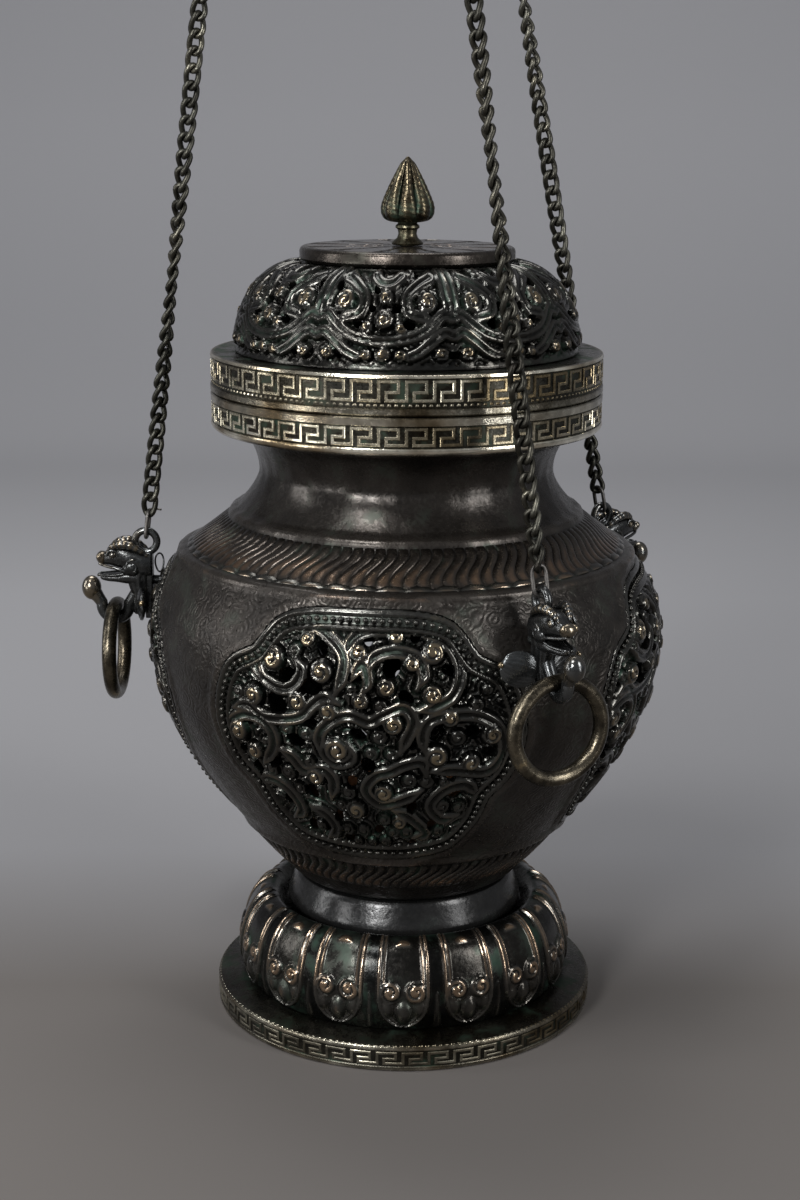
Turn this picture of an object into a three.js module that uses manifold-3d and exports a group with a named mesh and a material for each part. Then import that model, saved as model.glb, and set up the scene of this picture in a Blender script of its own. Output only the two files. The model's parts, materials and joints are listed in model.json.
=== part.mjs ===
// A cast bronze hanging incense burner: a pot-bellied bowl on a lotus foot, a pierced lid with a bud finial,
// and three beast heads that each hold a loose ring and a suspension chain.
// Millimetres and degrees. +Z is up, the origin is on the bowl's axis at the underside of the foot,
// and azimuth 0 points along +X. The front of the burner faces -Y.
import * as THREE from "three";
import { mergeVertices } from "three/addons/utils/BufferGeometryUtils.js";
import Module from "manifold-3d";

const wasm = await Module();
wasm.setup();

// Seams and facets
const SEAM = 0.3; // clearance between pieces that are seated on each other
const ROUND = 32; // facets around the big turned pieces
const SMALL_ROUND = 12; // facets around small turned pieces

// Foot: base plate, plinth, lotus ring and collar
const PLINTH_RADIUS = 59.1;
const PLINTH_HEIGHT = 8.1;
const PLINTH_MOULDING = 1.1; // rise of the plinth's top from its rim to the lotus ring
const PLINTH_BORE = 44;
const PLATE_THICKNESS = 2.2;
const LOTUS_RADIUS = 51.6;
const LOTUS_CREST_RADIUS = 41.5;
const LOTUS_TUCK = 1.6; // how far the ring draws in below its widest line
const LOTUS_TROUGH_RADIUS = 37.4;
const LOTUS_BULGE_RISE = 7.6; // height of the widest line above the plinth
const LOTUS_CREST_RISE = 18.5; // height of the crest above the widest line
const LOTUS_TROUGH_DEPTH = 4.3; // depth of the inner trough below the crest
const LOTUS_WALL = 2.2;
const PETALS = 16;
const PETAL_SWELL = 0.7;
const COLLAR_TOP_RADIUS = 33.6;
const COLLAR_SKIRT_RADIUS = 36.6;
const COLLAR_WALL = 3.2;
const COLLAR_FOOT = 3.3; // height of the collar's plain foot inside the trough
const COLLAR_HEIGHT = 11;
const COLLAR_TUCK = 1.2;

// Bowl
const BOWL_WALL = 2.6;
const BOWL_BASE_RADIUS = 31;
const BOWL_BASE_RISE = 3.2; // height of the waist above the bowl's flat base
const BOWL_FLOOR = 3;
const WAIST_RADIUS = 36.5;
const BELLY_RADIUS = 77.4;
const BELLY_RISE = 74; // height of the belly's widest line above the waist
const SHOULDER_RADIUS = 67.5;
const SHOULDER_RISE = 26; // height of the shoulder ridge above the belly line
const NECK_RADIUS = 44.2;
const NECK_RISE = 24; // height of the neck's narrowest line above the shoulder ridge
const LIP_RADIUS = 49.5;
const LIP_RISE = 12.3;

// Mouth band and lid
const BAND_RADIUS = 58.5;
const MOUTH_BAND_HEIGHT = 10.9;
const MOUTH_BAND_FLOOR = 2.4;
const MOUTH_BAND_WALL = 5.5;
const MOUTH_BAND_ROUND = 1.3;
const LID_BAND_HEIGHT = 11.4;
const LID_BAND_ROOF = 2.2;
const LID_BAND_COVE = 3; // height of the slope under the roof
const SPIGOT_DEPTH = 5; // the lid's locating rim inside the mouth band
const SPIGOT_WALL = 2.2;
const DOME_RADIUS = 51;
const DOME_RISE = 24.8;
const DOME_STRAIGHT = 0.8;
const DOME_WALL = 2.2;
const CAP_RADIUS = 31.8;
const CAP_SEAT_RADIUS = 30.4;
const CAP_HEIGHT = 4.4;
const CAP_STEP = 1;

// Finial
const STUD_RADIUS = 1.9;
const FINIAL_FLARE_RADIUS = 4.6;
const FINIAL_STEM_RADIUS = 2.8;
const FINIAL_STEM_HEIGHT = 6.4;
const BUD_RADIUS = 7.9;
const BUD_BELLY_RISE = 4.4;
const BUD_HEIGHT = 19;
const BUD_LOBES = 8;
const BUD_LOBE_DEPTH = 0.5;
const FINIAL_NUT_RADIUS = 5;
const FINIAL_NUT_HEIGHT = 3;

// Pierced medallions, four around the bowl
const MEDALLIONS = 4;
const FIRST_MEDALLION = -99; // azimuth of the front medallion's centre
const MEDALLION_SPREAD = 35.5; // half the angle that one medallion spans
const MEDALLION_HEIGHT = 79.6;
const MEDALLION_RISE = 17.4; // lowest point of a medallion above the waist
const FRAME_WIDTH = 5.4; // of the raised border round a medallion
const CLOUD_WIDTH = 3; // of the cast cloud bands
const CLOUD_RISE = 0.9; // of the cloud bands and the border above the ground
const BOSS_RISE = 1.7; // of the scrolls' bosses above the ground
const RELIEF_ROOT = 1; // how deep the relief is rooted in the wall
const RELIEF_MARGIN = 0.6; // from a medallion's edge in to its relief
const RELIEF_TOLERANCE = 0.9; // to which its outlines are kept
const HEAD_CLEARANCE = 8; // degrees on each side of a head that stay without relief
const HEAD_CLEARANCE_HEIGHT = 28; // below the shoulder ridge, down to which they do

// Beast heads, by their azimuths, and what they hold
const HEADS = [
  { name: "left", azimuth: 178 },
  { name: "front", azimuth: -62.4 },
  { name: "back", azimuth: 36.3 },
];
const EYELET_STANDOFF = 2.3; // of the eyelet's centre, beyond the belly
const EYELET_BELOW_SHOULDER = 0.2;
const EYELET_WIRE = 1.15;
const EYELET_HOLE = 2.2;
const HEAD_WIDTH = 8.4;
const JAW_WIDTH = 6.4;
const NECK_WIDTH = 5;
const BAR_THICKNESS = 2.4;
const BAR_WIDTH = 4.4;
const BAR_LENGTH = 20.5;
const BAR_STANDOFF = 2; // from the eyelet's centre in to the bar's back
const TRUNK_WIRE = 1.8;
const TRUNK_BULB = 3;
const BULB_REACH = 7.3; // from the ring's top out to the bulb
const BULB_RISE = 5.4; // from the ring's top up to the bulb
const NOSE_BULB = 1.6;
const NOSE_REACH = 14.2;
const NOSE_DROP = 5.6;
const EYE_BULB = 1.3;
const EYE_REACH = 10.2;
const EYE_DROP = 3.2;
const EAR_LENGTH = 5.2;
const EAR_REACH = 0.8;
const EAR_SIDE = 7;
const EAR_DROP = 18.2;
const EAR_FLARE = 20; // degrees that each ear leans out
const EAR_SWEEP = 14; // degrees that each ear turns forwards
const RING_WIRE = 1.85;
const RING_RADIUS = 13.7;
const RING_PLAY = 0.55; // from the ring's wire to the trunk it hangs in
const RING_REACH = 9.9; // from the eyelet's centre out to the ring
const RING_DROP = 20.2; // from the eyelet's centre down to the middle of the ring's top
const PEG_RADIUS = 1.4;
const PEG_DROPS = [12, 20.5]; // below the eyelet's centre
const PEG_TAIL = 0.9;
const PEG_WASHER_RADIUS = 2.7;
const PEG_WASHER_THICKNESS = 1.4;

// Ash pan and the bolt that holds the foot to the bowl
const PAN_RADIUS = 36;
const PAN_FLOOR_RADIUS = 29;
const PAN_HEIGHT = 11;
const PAN_WALL = 1.4;
const PAN_CLEARANCE = 0.5; // above the nut inside the bowl
const BOLT_RADIUS = 2.8;
const BOLT_HEAD_RADIUS = 5.8;
const BOLT_HEAD_HEIGHT = 3.2;
const BOLT_TAIL = 1;
const WASHER_RADIUS = 9;
const WASHER_THICKNESS = 1.3;
const NUT_HEIGHT = 3.4;

// Chains, their wire hooks, and the hanger above
const SUSPENSION = new THREE.Vector3(-22, 2, 613); // where the three lines of chain would meet
const CHAIN_LINKS = 32;
const LINK_PITCH = 4.8;
const LINK_WIDTH = 5;
const LINK_THICKNESS = 2.9;
const LINK_WAIST = 0.72; // the run's section between two links, as a share of a link's
const HOOK_WIRE = 0.6;
const HOOK_LENGTH = 8.4; // between the hook's two bends
const HOOK_WIDTH = 5.2;
const CURL_HOLE = 2.2; // inside radius of the curl at the end of a hanger's arm
const ARM_WIRE = 1.6;
const ARM_RISE = 7.3; // of the arm's middle line above the middle of its curl
const ARM_BOW = 1.6;
const HUB_RADIUS = 6.5;
const HUB_HEIGHT = 5;
const SWIVEL_RADIUS = 2;
const SWIVEL_HEAD_RADIUS = 3.6;
const SWIVEL_HEAD_HEIGHT = 1.8;
const SWIVEL_NECK = 2.2;
const SWIVEL_RING_RADIUS = 8.6;
const SWIVEL_RING_WIRE = 1.7;

// Heights and radii that follow
const plinthTop = PLINTH_HEIGHT + PLINTH_MOULDING;
const lotusBase = plinthTop + SEAM;
const lotusWidest = lotusBase + LOTUS_BULGE_RISE;
const lotusCrest = lotusWidest + LOTUS_CREST_RISE;
const troughTop = lotusCrest - LOTUS_TROUGH_DEPTH;
const collarBase = troughTop + SEAM;
const collarTop = collarBase + COLLAR_HEIGHT;
const bowlBase = collarTop + SEAM;
const bowlFloorTop = bowlBase + BOWL_FLOOR;
const waistHeight = bowlBase + BOWL_BASE_RISE;
const bellyHeight = waistHeight + BELLY_RISE;
const shoulderHeight = bellyHeight + SHOULDER_RISE;
const neckHeight = shoulderHeight + NECK_RISE;
const lipHeight = neckHeight + LIP_RISE;
const mouthBase = lipHeight + SEAM;
const mouthTop = mouthBase + MOUTH_BAND_HEIGHT;
const mouthBore = BAND_RADIUS - MOUTH_BAND_WALL;
const lidBase = mouthTop + SEAM;
const lidBandTop = lidBase + LID_BAND_HEIGHT;
const spigotRadius = mouthBore - SEAM;
const domeBase = lidBandTop + SEAM;
const domeTop = domeBase + DOME_STRAIGHT + DOME_RISE;
const capBase = domeTop + SEAM;
const capTop = capBase + CAP_HEIGHT;
const finialBase = capTop + SEAM;
const budBase = finialBase + FINIAL_STEM_HEIGHT;
const eyeletHeight = shoulderHeight - EYELET_BELOW_SHOULDER;
const eyeletRadius = BELLY_RADIUS + EYELET_STANDOFF;
const medallionBase = waistHeight + MEDALLION_RISE;

const radians = THREE.MathUtils.degToRad;

// The bowl's outer radius at a height between the waist and the lip.
function bowlRadius(height) {
  const quarter = Math.PI / 2;
  if (height <= bellyHeight) {
    const share = Math.max(0, (height - waistHeight) / BELLY_RISE);
    return WAIST_RADIUS + (BELLY_RADIUS - WAIST_RADIUS) * Math.sin(quarter * share);
  }
  if (height <= shoulderHeight) {
    const share = (height - bellyHeight) / SHOULDER_RISE;
    return SHOULDER_RADIUS + (BELLY_RADIUS - SHOULDER_RADIUS) * Math.cos(quarter * share ** 1.2);
  }
  if (height <= neckHeight) {
    const share = (height - shoulderHeight) / NECK_RISE;
    return NECK_RADIUS + (SHOULDER_RADIUS - NECK_RADIUS) * (1 - share) ** 1.6;
  }
  const share = (height - neckHeight) / LIP_RISE;
  return NECK_RADIUS + (LIP_RADIUS - NECK_RADIUS) * share ** 2;
}

// Evenly spaced heights from one to another, without the last.
function heights(from, to, steps) {
  return Array.from({ length: steps }, (_, i) => from + ((to - from) * i) / steps);
}

// Points of an ellipse's arc as [radius, height], ends included.
function arc(centreRadius, centreHeight, across, up, fromDegrees, toDegrees, steps) {
  return Array.from({ length: steps + 1 }, (_, i) => {
    const angle = radians(fromDegrees + ((toDegrees - fromDegrees) * i) / steps);
    return [centreRadius + across * Math.cos(angle), centreHeight + up * Math.sin(angle)];
  });
}

// A closed surface as a solid that can be joined and cut.
function solid(geometry) {
  const bare = geometry.clone();
  bare.deleteAttribute("normal");
  bare.deleteAttribute("uv");
  const merged = mergeVertices(bare, 1e-4);
  const index = merged.index.array;
  const faces = [];
  for (let i = 0; i < index.length; i += 3) {
    const [a, b, c] = [index[i], index[i + 1], index[i + 2]];
    if (a !== b && b !== c && c !== a) faces.push(a, b, c);
  }
  const vertProperties = new Float32Array(merged.attributes.position.array);
  const make = (list) =>
    new wasm.Manifold(new wasm.Mesh({ numProp: 3, vertProperties, triVerts: new Uint32Array(list) }));
  const made = make(faces);
  return made.volume() < 0 ? make(faces.reverse()) : made;
}

const join = (solids) => solids.reduce((sum, next) => sum.add(next));
const cut = (body, tools) => tools.reduce((rest, tool) => rest.subtract(tool), body);

// A geometry from a list of coordinates and a list of corners.
function indexed(positions, index) {
  const geometry = new THREE.BufferGeometry();
  geometry.setAttribute("position", new THREE.BufferAttribute(new Float32Array(positions), 3));
  geometry.setIndex(new THREE.BufferAttribute(new Uint32Array(index), 1));
  return geometry;
}

// A solid's surface as a geometry.
function surface(body) {
  const mesh = body.getMesh();
  const geometry = indexed(mesh.vertProperties, mesh.triVerts);
  geometry.computeVertexNormals();
  return geometry;
}

// A turned solid about +Z from an outline of [radius, height] points.
function turned(outline, facets = ROUND) {
  const onAxis = outline[0][0] === 0 && outline[outline.length - 1][0] === 0;
  const closed = onAxis ? outline : [...outline, outline[0]];
  const points = closed.map(([radius, height]) => new THREE.Vector2(radius, height));
  return solid(new THREE.LatheGeometry(points, facets).rotateX(Math.PI / 2));
}

function disc(radius, from, to, facets = SMALL_ROUND) {
  return turned([[0, from], [radius, from], [radius, to], [0, to]], facets);
}

function washer(hole, radius, from, to, facets = SMALL_ROUND) {
  return disc(radius, from, to, facets).subtract(disc(hole, from - 1, to + 1));
}

// A round bar along a path of points, with ends square to it.
function bar(points, radius, sides = 8, steps = 8) {
  const section = new THREE.Shape(
    Array.from({ length: sides }, (_, i) => {
      const angle = ((i + 0.5) * 2 * Math.PI) / sides;
      return new THREE.Vector2(radius * Math.cos(angle), radius * Math.sin(angle));
    }),
  );
  const path = new THREE.CatmullRomCurve3(points.map((p) => new THREE.Vector3(...p)));
  return solid(new THREE.ExtrudeGeometry(section, { steps, extrudePath: path, bevelEnabled: false }));
}

// A ring of round wire about the Y axis.
function wireRing(radius, wire, facets = 20, sides = 8) {
  return new THREE.TorusGeometry(radius, wire, sides, facets).rotateX(Math.PI / 2);
}

// A cylinder that lies along X, from one distance to another.
function pin(radius, from, to, height, facets = 10) {
  const geometry = new THREE.CylinderGeometry(radius, radius, to - from, facets);
  return solid(geometry.rotateZ(Math.PI / 2).translate((from + to) / 2, 0, height));
}

// Turns a solid that was made along +X about the burner's axis.
function atAzimuth(body, degrees) {
  return body.rotate([0, 0, degrees]);
}

// A prism that runs out radially, its outline in degrees of azimuth and millimetres of height.
function radialPrism(outline, azimuth, from, to) {
  const shape = new THREE.Shape(outline.map(([degrees, height]) => new THREE.Vector2(degrees, height)));
  const geometry = new THREE.ExtrudeGeometry(shape, { depth: to - from, steps: 1, bevelEnabled: false });
  const position = geometry.attributes.position;
  for (let i = 0; i < position.count; i++) {
    const angle = radians(azimuth + position.getX(i));
    const radius = from + position.getZ(i);
    position.setXYZ(i, radius * Math.cos(angle), radius * Math.sin(angle), position.getY(i));
  }
  return solid(geometry);
}

// Half of a medallion's outline in three lobes, as shares of its spread and of its height.
const TOP_LOBE = [[0, 1], [0.34, 0.995], [0.56, 0.957], [0.69, 0.856]];
const SIDE_LOBE = [[0.69, 0.856], [0.89, 0.774], [1, 0.573], [0.957, 0.397], [0.834, 0.296]];
const BOTTOM_LOBE = [[0.834, 0.296], [0.79, 0.171], [0.63, 0.052], [0.31, 0.008], [0, 0]];

// The medallion's whole outline, drawn in by an inset on every side.
function medallionOutline(inset) {
  const half = [TOP_LOBE, SIDE_LOBE, BOTTOM_LOBE].flatMap((lobe, i) => {
    const spline = new THREE.SplineCurve(lobe.map(([across, up]) => new THREE.Vector2(across, up)));
    return spline.getPoints(3).slice(i ? 1 : 0);
  });
  const spread = MEDALLION_SPREAD - THREE.MathUtils.radToDeg(inset / BELLY_RADIUS);
  const middle = medallionBase + MEDALLION_HEIGHT / 2;
  const tall = MEDALLION_HEIGHT - 2 * inset;
  const right = half.map(({ x, y }) => [x * spread, middle + (y - 0.5) * tall]);
  const left = right.slice(1, -1).reverse().map(([x, y]) => [-x, y]);
  return [...right, ...left];
}

// Openwork of one medallion: each hole's place as shares of spread and height, and its radius. All but the
// middle ones are mirrored.
const MEDALLION_HOLES = [
  { across: 0.26, up: 0.88, radius: 2.6 },
  { across: 0.2, up: 0.7, radius: 3.2 },
  { across: 0.82, up: 0.52, radius: 2.8 },
  { across: 0.3, up: 0.16, radius: 2.4 },
];

function medallionHoles(azimuth) {
  return MEDALLION_HOLES.flatMap(({ across, up, radius }) => {
    const hole = pin(radius, 0, 2 * BELLY_RADIUS, medallionBase + up * MEDALLION_HEIGHT, 6);
    return [-1, 1].map((side) => atAzimuth(hole, azimuth + side * across * MEDALLION_SPREAD));
  });
}

// The cloud bands of a medallion as lines of [across, up] points, as shares of its spread and height.
const CLOUDS = [
  [[-0.6, 0.73], [-0.62, 0.86], [-0.28, 0.93], [-0.1, 0.84]],
  [[-0.08, 0.83], [0.1, 0.93], [0.42, 0.91], [0.56, 0.8], [0.4, 0.66]],
  [[-0.8, 0.61], [-0.34, 0.61], [-0.15, 0.7]],
  [[-0.86, 0.47], [-0.68, 0.6], [-0.57, 0.49], [-0.68, 0.41]],
  [[-0.26, 0.48], [-0.17, 0.61], [0.12, 0.65], [0.26, 0.55]],
  [[0.38, 0.5], [0.42, 0.63], [0.66, 0.64], [0.83, 0.52], [0.76, 0.42], [0.42, 0.43]],
  [[0.39, 0.41], [0.06, 0.41], [0.01, 0.34], [0.12, 0.29], [0.36, 0.35]],
  [[-0.53, 0.49], [-0.3, 0.4], [-0.24, 0.29]],
];

// The scrolls' bosses: place as shares of spread and height, and radius.
const BOSSES = [
  { across: -0.54, up: 0.82, radius: 3.6 },
  { across: 0.42, up: 0.86, radius: 3.2 },
  { across: -0.15, up: 0.51, radius: 4.2 },
  { across: 0.44, up: 0.49, radius: 3.4 },
  { across: -0.08, up: 0.26, radius: 3.2 },
];

// Openwork of the lid, for each of eight cloud lappets.
const LAPPETS = 8;
const FIRST_LAPPET = -97.5;
const LAPPET_BAR_WIDTH = 4;
const LAPPET_RELIEF = 1.2;
const LAPPET_COLUMNS = 8; // facets across one lappet
const LAPPET_ROWS = 8; // facets up the dome
const LAPPET_RELIEF_RADIUS = 45.8; // of the dome at which a lappet's width is measured

// A lappet's bracket-shaped lower bar, its two scrolls, and the rib between neighbours, as shares of half the
// lappet's width and of the dome's rise.
const BRACKET = [[0, 0.27], [0.45, 0.31], [1, 0.56]];
const LAPPET_SCROLL = [[0.66, 0.9], [0.33, 0.7], [0.5, 0.5]];
const LAPPET_RIB = [[1, 0.97], [1, 0.58]];
const LID_HOLES = [
  { turn: 7.5, up: 0.53, radius: 2.6 },
  { turn: 0, up: 0.17, radius: 1.5 },
];

function lidHoles() {
  const holes = [];
  for (let i = 0; i < LAPPETS; i++) {
    const middle = FIRST_LAPPET + (360 / LAPPETS) * i;
    const side = i % 2 ? -1 : 1; // neighbouring lappets mirror each other
    for (const { turn, up, radius } of LID_HOLES) {
      const height = domeBase + DOME_STRAIGHT + up * DOME_RISE;
      holes.push(atAzimuth(pin(radius, CAP_RADIUS, 2 * DOME_RADIUS, height, 6), middle + side * turn));
    }
  }
  return holes;
}

// The outline of a band of even width along a line of points.
function stripe(points, width) {
  const sides = points.map((_, i) => {
    const before = points[Math.max(i - 1, 0)];
    const after = points[Math.min(i + 1, points.length - 1)];
    const along = new THREE.Vector2(after[0] - before[0], after[1] - before[1]).setLength(width / 2);
    return [-along.y, along.x];
  });
  const left = points.map(([x, y], i) => [x + sides[i][0], y + sides[i][1]]);
  const right = points.map(([x, y], i) => [x - sides[i][0], y - sides[i][1]]);
  return [...left, ...right.reverse()];
}

// A six-sided outline round a point.
function hexagon(x, y, radius) {
  return Array.from({ length: 6 }, (_, i) => {
    const angle = (i * Math.PI) / 3;
    return [x + radius * Math.cos(angle), y + radius * Math.sin(angle)];
  });
}

const region = (outlines) => new wasm.CrossSection(outlines, "NonZero");

// Relief raised from a flat region: its x is millimetres round the axis at a radius, and its height on the
// surface is given by a function of the height and the distance out.
function raised(flat, azimuth, atRadius, surfaceAt, rise) {
  return flat.extrude(1).warp((point) => {
    const angle = radians(azimuth) + point[0] / atRadius;
    const [radius, height] = surfaceAt(point[1], point[2] > 0.5 ? rise : -RELIEF_ROOT);
    point[0] = radius * Math.cos(angle);
    point[1] = radius * Math.sin(angle);
    point[2] = height;
  });
}

// The cast relief of one medallion: border, cloud bands and bosses, left out beside the heads.
function medallionRelief(azimuth) {
  const spread = radians(MEDALLION_SPREAD) * BELLY_RADIUS;
  const flat = (points) => points.map(([across, up]) => [across * spread, medallionBase + up * MEDALLION_HEIGHT]);
  const millimetres = (outline) => outline.map(([degrees, height]) => [radians(degrees) * BELLY_RADIUS, height]);
  const whole = region([millimetres(medallionOutline(SEAM + RELIEF_MARGIN))]);
  const field = region([millimetres(medallionOutline(FRAME_WIDTH))]);
  const clouds = region(CLOUDS.map((line) => stripe(flat(line), CLOUD_WIDTH))).simplify(RELIEF_TOLERANCE);
  const bands = whole.subtract(field.subtract(clouds));
  const bosses = region(BOSSES.map(({ across, up, radius }) => hexagon(...flat([[across, up]])[0], radius)));
  const low = shoulderHeight - HEAD_CLEARANCE_HEIGHT;
  const beside = [[-HEAD_CLEARANCE, low], [HEAD_CLEARANCE, low], [HEAD_CLEARANCE, neckHeight],
    [-HEAD_CLEARANCE, neckHeight]];
  const clear = HEADS.map((head) => radialPrism(beside, head.azimuth, WAIST_RADIUS, 2 * BELLY_RADIUS));
  const onBowl = (height, out) => [bowlRadius(height) + out, height];
  const relief = [[bands, CLOUD_RISE], [bosses, BOSS_RISE]].map(([shape, rise]) =>
    raised(shape, azimuth, BELLY_RADIUS, onBowl, rise),
  );
  return cut(join(relief), clear);
}

// How far the dome stands proud at a place, in millimetres round it and of height: most on the lines of its
// brackets, scrolls and ribs, and nothing away from them.
function lappetRise(side, height) {
  const shoulder = domeBase + DOME_STRAIGHT;
  const halfWidth = (Math.PI / LAPPETS) * LAPPET_RELIEF_RADIUS;
  const flat = ([across, up]) => new THREE.Vector2(across * halfWidth, shoulder + up * DOME_RISE);
  const place = new THREE.Vector2(Math.abs(side), height);
  const gaps = [BRACKET, LAPPET_RIB, LAPPET_SCROLL].flatMap((line) =>
    line.slice(1).map((point, i) => {
      const start = flat(line[i]);
      const along = flat(point).sub(start);
      const share = THREE.MathUtils.clamp(place.clone().sub(start).dot(along) / along.lengthSq(), 0, 1);
      return place.distanceTo(start.addScaledVector(along, share));
    }),
  );
  return LAPPET_RELIEF * THREE.MathUtils.clamp(1 - Math.min(...gaps) / LAPPET_BAR_WIDTH, 0, 1);
}

// The dome's outer form with its lappets' relief, closed below.
function domeBody() {
  const shoulder = domeBase + DOME_STRAIGHT;
  const halfWidth = (Math.PI / LAPPETS) * LAPPET_RELIEF_RADIUS;
  const rows = arc(CAP_RADIUS, shoulder, DOME_RADIUS - CAP_RADIUS, DOME_RISE, 0, 90, LAPPET_ROWS);
  const outline = [[0, domeBase], [DOME_RADIUS, domeBase], ...rows, [0, domeTop]];
  const points = outline.map(([radius, height]) => new THREE.Vector2(radius, height));
  const geometry = new THREE.LatheGeometry(points, LAPPETS * LAPPET_COLUMNS).rotateX(Math.PI / 2);
  const position = geometry.attributes.position;
  for (let i = 0; i < position.count; i++) {
    const [x, y, height] = [position.getX(i), position.getY(i), position.getZ(i)];
    if (height <= shoulder + SEAM || height >= domeTop - SEAM) continue;
    const turn = Math.atan2(y, x) / ((2 * Math.PI) / LAPPETS);
    const side = (turn - Math.round(turn)) * 2 * halfWidth;
    const swell = 1 + lappetRise(side, height) / Math.hypot(x, y);
    position.setX(i, x * swell);
    position.setY(i, y * swell);
  }
  return atAzimuth(solid(geometry), FIRST_LAPPET);
}

// Materials
function metal(name, color, roughness, metalness) {
  return new THREE.MeshStandardMaterial({ name, color, roughness, metalness });
}
const bronze = metal("dark_bronze", 0x2b2320, 0.35, 0.9);
const openwork = metal("openwork_bronze", 0x37342f, 0.4, 0.9);
const brassy = metal("worn_brass_band", 0x8b8164, 0.4, 0.9);
const ringBrass = metal("ring_brass", 0x5d5640, 0.3, 0.9);
const wireSteel = metal("chain_metal", 0x3a3a34, 0.45, 0.85);
const panCopper = metal("pan_copper", 0x6a4a38, 0.5, 0.9);

const burner = new THREE.Group();
burner.name = "hanging_incense_burner";

function add(name, body, material, parent = burner) {
  const mesh = new THREE.Mesh(surface(body), material);
  mesh.name = name;
  parent.add(mesh);
  return mesh;
}

// Base plate and plinth
function basePlate() {
  return disc(PLINTH_BORE - SEAM, 0, PLATE_THICKNESS, ROUND);
}

function plinth() {
  const edge = 0.8;
  const ledge = (PLINTH_RADIUS + LOTUS_RADIUS) / 2;
  return turned([
    [PLINTH_BORE, 0],
    [PLINTH_RADIUS - edge, 0],
    [PLINTH_RADIUS, edge],
    [PLINTH_RADIUS, PLINTH_HEIGHT - edge / 2],
    [PLINTH_RADIUS - edge, PLINTH_HEIGHT],
    [ledge, PLINTH_HEIGHT + PLINTH_MOULDING / 2],
    [LOTUS_RADIUS, plinthTop],
    [PLINTH_BORE, plinthTop],
  ]);
}

// The lotus ring: a hollow torus with petals around it and a flat trough that carries the collar
function lotusRing() {
  const across = LOTUS_RADIUS - LOTUS_CREST_RADIUS;
  const footRadius = LOTUS_RADIUS - LOTUS_TUCK;
  const middle = (LOTUS_CREST_RADIUS + LOTUS_TROUGH_RADIUS) / 2;
  const outer = [
    [footRadius, lotusBase],
    ...arc(LOTUS_CREST_RADIUS, lotusWidest, across, LOTUS_CREST_RISE, 0, 90, 4),
    [middle, lotusCrest - LOTUS_TROUGH_DEPTH * 0.25],
    [LOTUS_TROUGH_RADIUS, troughTop],
    [BOLT_RADIUS + SEAM, troughTop],
  ];
  const inner = [
    [BOLT_RADIUS + SEAM, troughTop - LOTUS_WALL],
    [LOTUS_CREST_RADIUS, troughTop - LOTUS_WALL],
    [LOTUS_RADIUS - 2 * LOTUS_WALL, lotusWidest + LOTUS_CREST_RISE / 2 - LOTUS_WALL],
    [footRadius - LOTUS_WALL, lotusBase],
  ];
  const points = [...outer, ...inner, outer[0]].map(([radius, height]) => new THREE.Vector2(radius, height));
  const geometry = new THREE.LatheGeometry(points, 3 * PETALS).rotateX(Math.PI / 2);
  const position = geometry.attributes.position;
  for (let i = 0; i < position.count; i++) {
    const [x, y] = [position.getX(i), position.getY(i)];
    const radius = Math.hypot(x, y);
    const outwards = THREE.MathUtils.smoothstep(radius, LOTUS_CREST_RADIUS, footRadius);
    const swell = PETAL_SWELL * outwards * (Math.abs(Math.sin((PETALS / 2) * Math.atan2(y, x))) - 1);
    position.setX(i, x * (1 + swell / radius));
    position.setY(i, y * (1 + swell / radius));
  }
  return solid(geometry);
}

function collar() {
  const bore = COLLAR_TOP_RADIUS - COLLAR_WALL;
  const skirt = collarBase + COLLAR_FOOT;
  return turned([
    [bore, collarBase],
    [COLLAR_SKIRT_RADIUS - COLLAR_TUCK, collarBase],
    [COLLAR_SKIRT_RADIUS, skirt],
    [(COLLAR_SKIRT_RADIUS + COLLAR_TOP_RADIUS) / 2 - COLLAR_TUCK / 4, (skirt + collarTop) / 2],
    [COLLAR_TOP_RADIUS, collarTop],
    [bore, collarTop],
  ]);
}

// The bowl as one turned shell, before its four windows are cut
function bowlShell() {
  const curve = [
    ...heights(waistHeight, bellyHeight, 6),
    ...heights(bellyHeight, shoulderHeight, 3),
    ...heights(shoulderHeight, neckHeight, 3),
    ...heights(neckHeight, lipHeight, 2),
    lipHeight,
  ];
  const outer = curve.map((height) => [bowlRadius(height), height]);
  const inner = curve
    .filter((height) => height > bowlFloorTop)
    .reverse()
    .map((height) => [bowlRadius(height) - BOWL_WALL, height]);
  const hole = BOLT_RADIUS + SEAM;
  return turned([
    [hole, bowlBase],
    [BOWL_BASE_RADIUS, bowlBase],
    ...outer,
    ...inner,
    [bowlRadius(bowlFloorTop) - BOWL_WALL, bowlFloorTop],
    [hole, bowlFloorTop],
  ]);
}

function mouthBand() {
  return turned([
    [LIP_RADIUS - BOWL_WALL, mouthBase],
    [BAND_RADIUS - MOUTH_BAND_ROUND, mouthBase],
    [BAND_RADIUS, mouthBase + MOUTH_BAND_ROUND],
    [BAND_RADIUS, mouthTop],
    [mouthBore, mouthTop],
    [mouthBore, mouthBase + MOUTH_BAND_FLOOR],
    [LIP_RADIUS - BOWL_WALL, mouthBase + MOUTH_BAND_FLOOR],
  ]);
}

// The lid's band with its flat roof, and the spigot below it that drops into the mouth band
function lidBand() {
  const roof = lidBandTop - LID_BAND_ROOF;
  const roofHole = DOME_RADIUS - 2 * DOME_WALL;
  return turned([
    [spigotRadius - SPIGOT_WALL, lidBase - SPIGOT_DEPTH],
    [spigotRadius, lidBase - SPIGOT_DEPTH],
    [spigotRadius, lidBase],
    [BAND_RADIUS, lidBase],
    [BAND_RADIUS, lidBandTop],
    [roofHole, lidBandTop],
    [roofHole, roof],
    [spigotRadius - SPIGOT_WALL, roof - LID_BAND_COVE],
  ]);
}

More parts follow.
